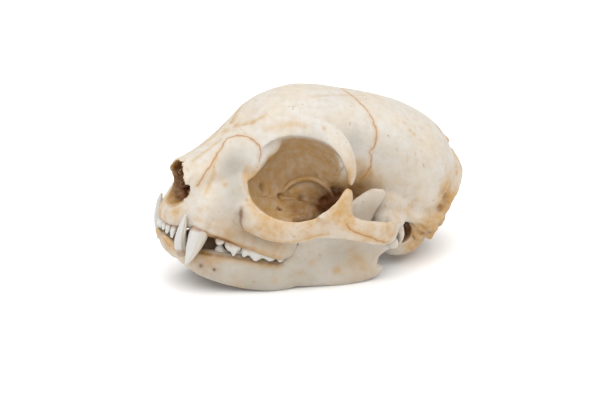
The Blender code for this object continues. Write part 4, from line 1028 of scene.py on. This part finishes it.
# Fine lengthwise crazing, 0.3 mm apart
inputs = {"Vector": where, "Scale": (3000.0, 3000.0, 220.0)}
along = node(tree, "ShaderNodeMapping", inputs).outputs["Vector"]
inputs = {"Vector": along, "Scale": 1.0, "Detail": 2.0}
crazing = node(tree, "ShaderNodeTexNoise", inputs).outputs["Fac"]
share = {"cream": cream}
for name, source, *levels in (
    ("crazed", crazing, 0.6, 0.75, 0.0, 0.35), ("stained", ragged, 0.4, 1.15, 0.0, 0.85),
):
    inputs = {"Value": source, **dict(zip(LEVELS, levels))}
    share[name] = node(tree, "ShaderNodeMapRange", inputs).outputs["Result"]
# The cream layer is partly painted shade, on faces turned away from the lamps
body = colour("#b9b7b2")
for name, code in {"cream": "#b3a894", "crazed": "#9c9078", "stained": "#875a25"}.items():
    inputs = {0: share[name], 6: body, 7: colour(code)}
    body = node(tree, "ShaderNodeMix", inputs, data_type="RGBA").outputs[2]
tree.links.new(body, shader.inputs["Base Color"])
bump = node(tree, "ShaderNodeBump", {"Strength": 0.12, "Distance": 0.0002, "Height": crazing})
tree.links.new(bump.outputs["Normal"], shader.inputs["Normal"])
for key, value in {
    "Roughness": 0.28, "IOR": 1.62, "Subsurface Weight": 0.2, "Subsurface Radius": (1.0, 0.8, 0.6),
    "Subsurface Scale": 0.0008,
}.items():
    shader.inputs[key].default_value = value


def set_teeth(thing, name, gum, upper, reach=1.1):
    """Stores how near the gum each point is, stain reaching that far past it, and sets both teeth."""
    points, normals = read_points(thing)
    height = points[:, 2] - gum
    neck = ramp(height if upper else -height, -reach, 0.5)
    # Creamier on faces turned towards the back of the skull, away from the lamps, which is painted
    # shade, and a little creamier near the gum
    cream = ramp(normals[:, 1], -0.3, 0.4) * 0.8 + 0.2 * neck
    for field, values in {"neck": neck, "cream": cream}.items():
        layer = thing.data.attributes.new(field, "FLOAT", "POINT")
        layer.data.foreach_set("value", values.astype(np.float32))
    for piece, end in zip(both(thing), ("_left", "_right")):
        piece.name = name + end
        set_down(piece, enamel, "tooth_bone")


def long_tooth(name, rows, gum, upper):
    thing = blade(name, rows, steps=70, points=40)
    points, normals = read_points(thing)
    # One shallow groove runs down the outer face, and the rest is slightly ribbed
    rising = rows[::-1] if upper else rows
    middle_y = np.interp(points[:, 2], [row[0][2] for row in rising], [row[0][1] for row in rising])
    groove = np.exp(-np.square((points[:, 1] - middle_y - 0.2) / 0.3))
    push = -0.16 * groove * ramp(normals[:, 0], 0.2, 0.7)
    push += 0.03 * grain(points * [1, 1, 0.25], 0.8, 21)
    pushed(thing, points, normals, push)
    set_teeth(thing, name, gum, upper)


def cheek_tooth(name, rows, root, gum, upper):
    """A blade with a jagged edge: cusps over a swollen collar, on roots in the bone."""
    rings = []
    # Each end is drawn in to a low rounded edge
    front, back = [
        (y + step, x, edge - 0.45 * (edge - root), half * 0.4)
        for (y, x, edge, half), step in ((rows[0], -0.12), (rows[-1], 0.12))
    ]
    # Half width and height of the section, from the root to the edge
    profile = [(0.8, 0), (0.95, 0.3), (1.05, 0.52), (0.92, 0.68), (0.66, 0.84), (0.34, 0.95), (0.1, 1)]
    for y, x, edge, half in eased([front, *rows, back], 34):
        reach = edge - root
        ring = [Vector((x + half * wide, y, root + reach * deep)) for wide, deep in profile]
        ring += [Vector((x - half * wide, y, root + reach * deep)) for wide, deep in reversed(profile)]
        rings.append(ring)
    thing = skin(name, rings)
    step = thing.modifiers.new("round", "SUBSURF")
    step.levels = step.render_levels = 1
    finished(thing)
    set_teeth(thing, name, gum, upper, 2.6)


long_tooth("upper_canine", UPPER_CANINE, 0.6, True)
long_tooth("lower_canine", LOWER_CANINE, -6.6, False)
for name, rows in zip(("second", "third", "fourth", "molar"), UPPER_CHEEK_TEETH):
    gum = np.interp(rows[0][0], (14.0, 22.0, 32.0), (-2.0, -3.9, -5.6))
    cheek_tooth("upper_cheek_tooth_" + name, rows, -0.8, gum, True)
for name, rows in zip(("third", "fourth", "molar"), LOWER_CHEEK_TEETH):
    cheek_tooth("lower_cheek_tooth_" + name, rows, -10.0, -7.2, False)
for number, (x, y, tip, half_width) in enumerate(INCISORS, 1):
    rows = [
        ((x, y + 0.9, 1.4), 0.9, half_width * 0.7), ((x, y + 0.3, -0.6), 0.9, half_width * 0.8),
        ((x, y, -1.6), 0.95, half_width), ((x, y - 0.5, tip), 0.3, half_width * 0.8),
    ]
    thing = blade("incisor", rows, steps=24, points=24)
    set_teeth(thing, f"incisor_{number}", -0.7, True)

# Scrolls in the nose: paper-thin curled bones that carried the lining of the nose. Each side has an
# upper and a lower curl, broken at the front.
SCROLLS = [
    # middle x, z at the front, first radius, turns, front y, back y
    (3.0, 13.6, 1.9, 1.4, 7.6, 17.0),
    (2.8, 10.0, 1.6, 1.3, 8.4, 17.0),
]
shape = bmesh.new()
for x, z, radius, turns, front, back in SCROLLS:
    grid = []
    for i in range(28):
        t = i / 27
        angle = math.tau * turns * t + 0.8
        reach = radius * (1.0 - 0.75 * t)
        jag = 0.5 * math.sin(9.0 * t) + 0.35 * math.sin(23.0 * t + x)
        row = []
        for j in range(10):
            y = front + jag + (back - front - jag) * j / 9
            lift = (y - front) * 0.34
            point = (x + reach * math.cos(angle), y, z + lift + reach * math.sin(angle))
            row.append(shape.verts.new(point))
        grid.append(row)
    for one, two in zip(grid, grid[1:]):
        for a, b, c, d in zip(one, one[1:], two[1:], two):
            shape.faces.new((a, b, c, d))
scroll = object_of("nose_scroll_left", shape)
step = scroll.modifiers.new("wall", "SOLIDIFY")
step.thickness = 0.22
step.offset = 0.0
finished(scroll)
bpy.ops.object.mode_set(mode="EDIT")
bpy.ops.mesh.select_all(action="SELECT")
bpy.ops.mesh.normals_make_consistent(inside=False)
bpy.ops.object.mode_set(mode="OBJECT")
for piece, name in zip(both(scroll), ("nose_scroll_left", "nose_scroll_right")):
    piece.name = name
    painted(piece)
    set_down(piece, dry_bone, "bone")

# Studio: a pale matt floor under a wide soft light from above and a weak reflector from the front left.
bpy.ops.object.select_all(action="DESELECT")
bpy.ops.mesh.primitive_plane_add(size=6.0, location=(0.0, 0.0, 0.0))
floor = bpy.context.object
floor.name = "floor"
bpy.ops.object.mode_set(mode="EDIT")
bpy.ops.mesh.subdivide(number_cuts=3)
bpy.ops.object.mode_set(mode="OBJECT")
# Matt paper spreads the light evenly and shows no gloss
matt_white, _, paper = new_material("matt_white_paper")
paper.inputs["Base Color"].default_value = colour("#f7f7f7")
paper.inputs["Roughness"].default_value = 0.9
paper.inputs["Specular IOR Level"].default_value = 0.1
floor.data.materials.append(matt_white)

world = bpy.data.worlds.new("soft_studio")
bpy.context.scene.world = world
world.use_nodes = True
sky = world.node_tree.nodes["Background"]
sky.inputs["Color"].default_value = (1.0, 0.99, 0.975, 1.0)
sky.inputs["Strength"].default_value = 0.75
bpy.ops.object.light_add(type="SUN", location=(0.0, 0.0, 1.0))
lamp = bpy.context.object
lamp.name = "overhead_softbox"
lamp.data.angle = math.radians(85.0)
lamp.data.energy = 2.9
lamp.rotation_euler = Vector((-0.28, 0.12, -1.0)).to_track_quat("-Z", "Y").to_euler()
bpy.ops.object.light_add(type="AREA", location=(0.55, -0.5, 0.35))
lamp = bpy.context.object
lamp.name = "front_reflector"
lamp.data.size = 0.6
lamp.data.energy = 0.4
lamp.rotation_euler = (Vector((0.0, 0.0, 0.03)) - lamp.location).to_track_quat("-Z", "Y").to_euler()
bpy.context.scene.view_settings.view_transform = "Standard"

# Camera: seen from the skull's left, a little from the front and above, with a long lens.
AZIMUTH = 1.1305690
ELEVATION = 0.3633388
level = math.cos(ELEVATION)
back = Vector((math.sin(AZIMUTH) * level, -math.cos(AZIMUTH) * level, math.sin(ELEVATION)))
bpy.ops.object.camera_add(location=(0.44142, -0.20961, 0.20454))
camera = bpy.context.object
camera.rotation_euler = (-back).to_track_quat("-Z", "Y").to_euler()
camera.data.sensor_width = 36.0
camera.data.lens = 100.0
camera.data.clip_start = 0.05
camera.data.clip_end = 10.0
bpy.context.scene.camera = camera
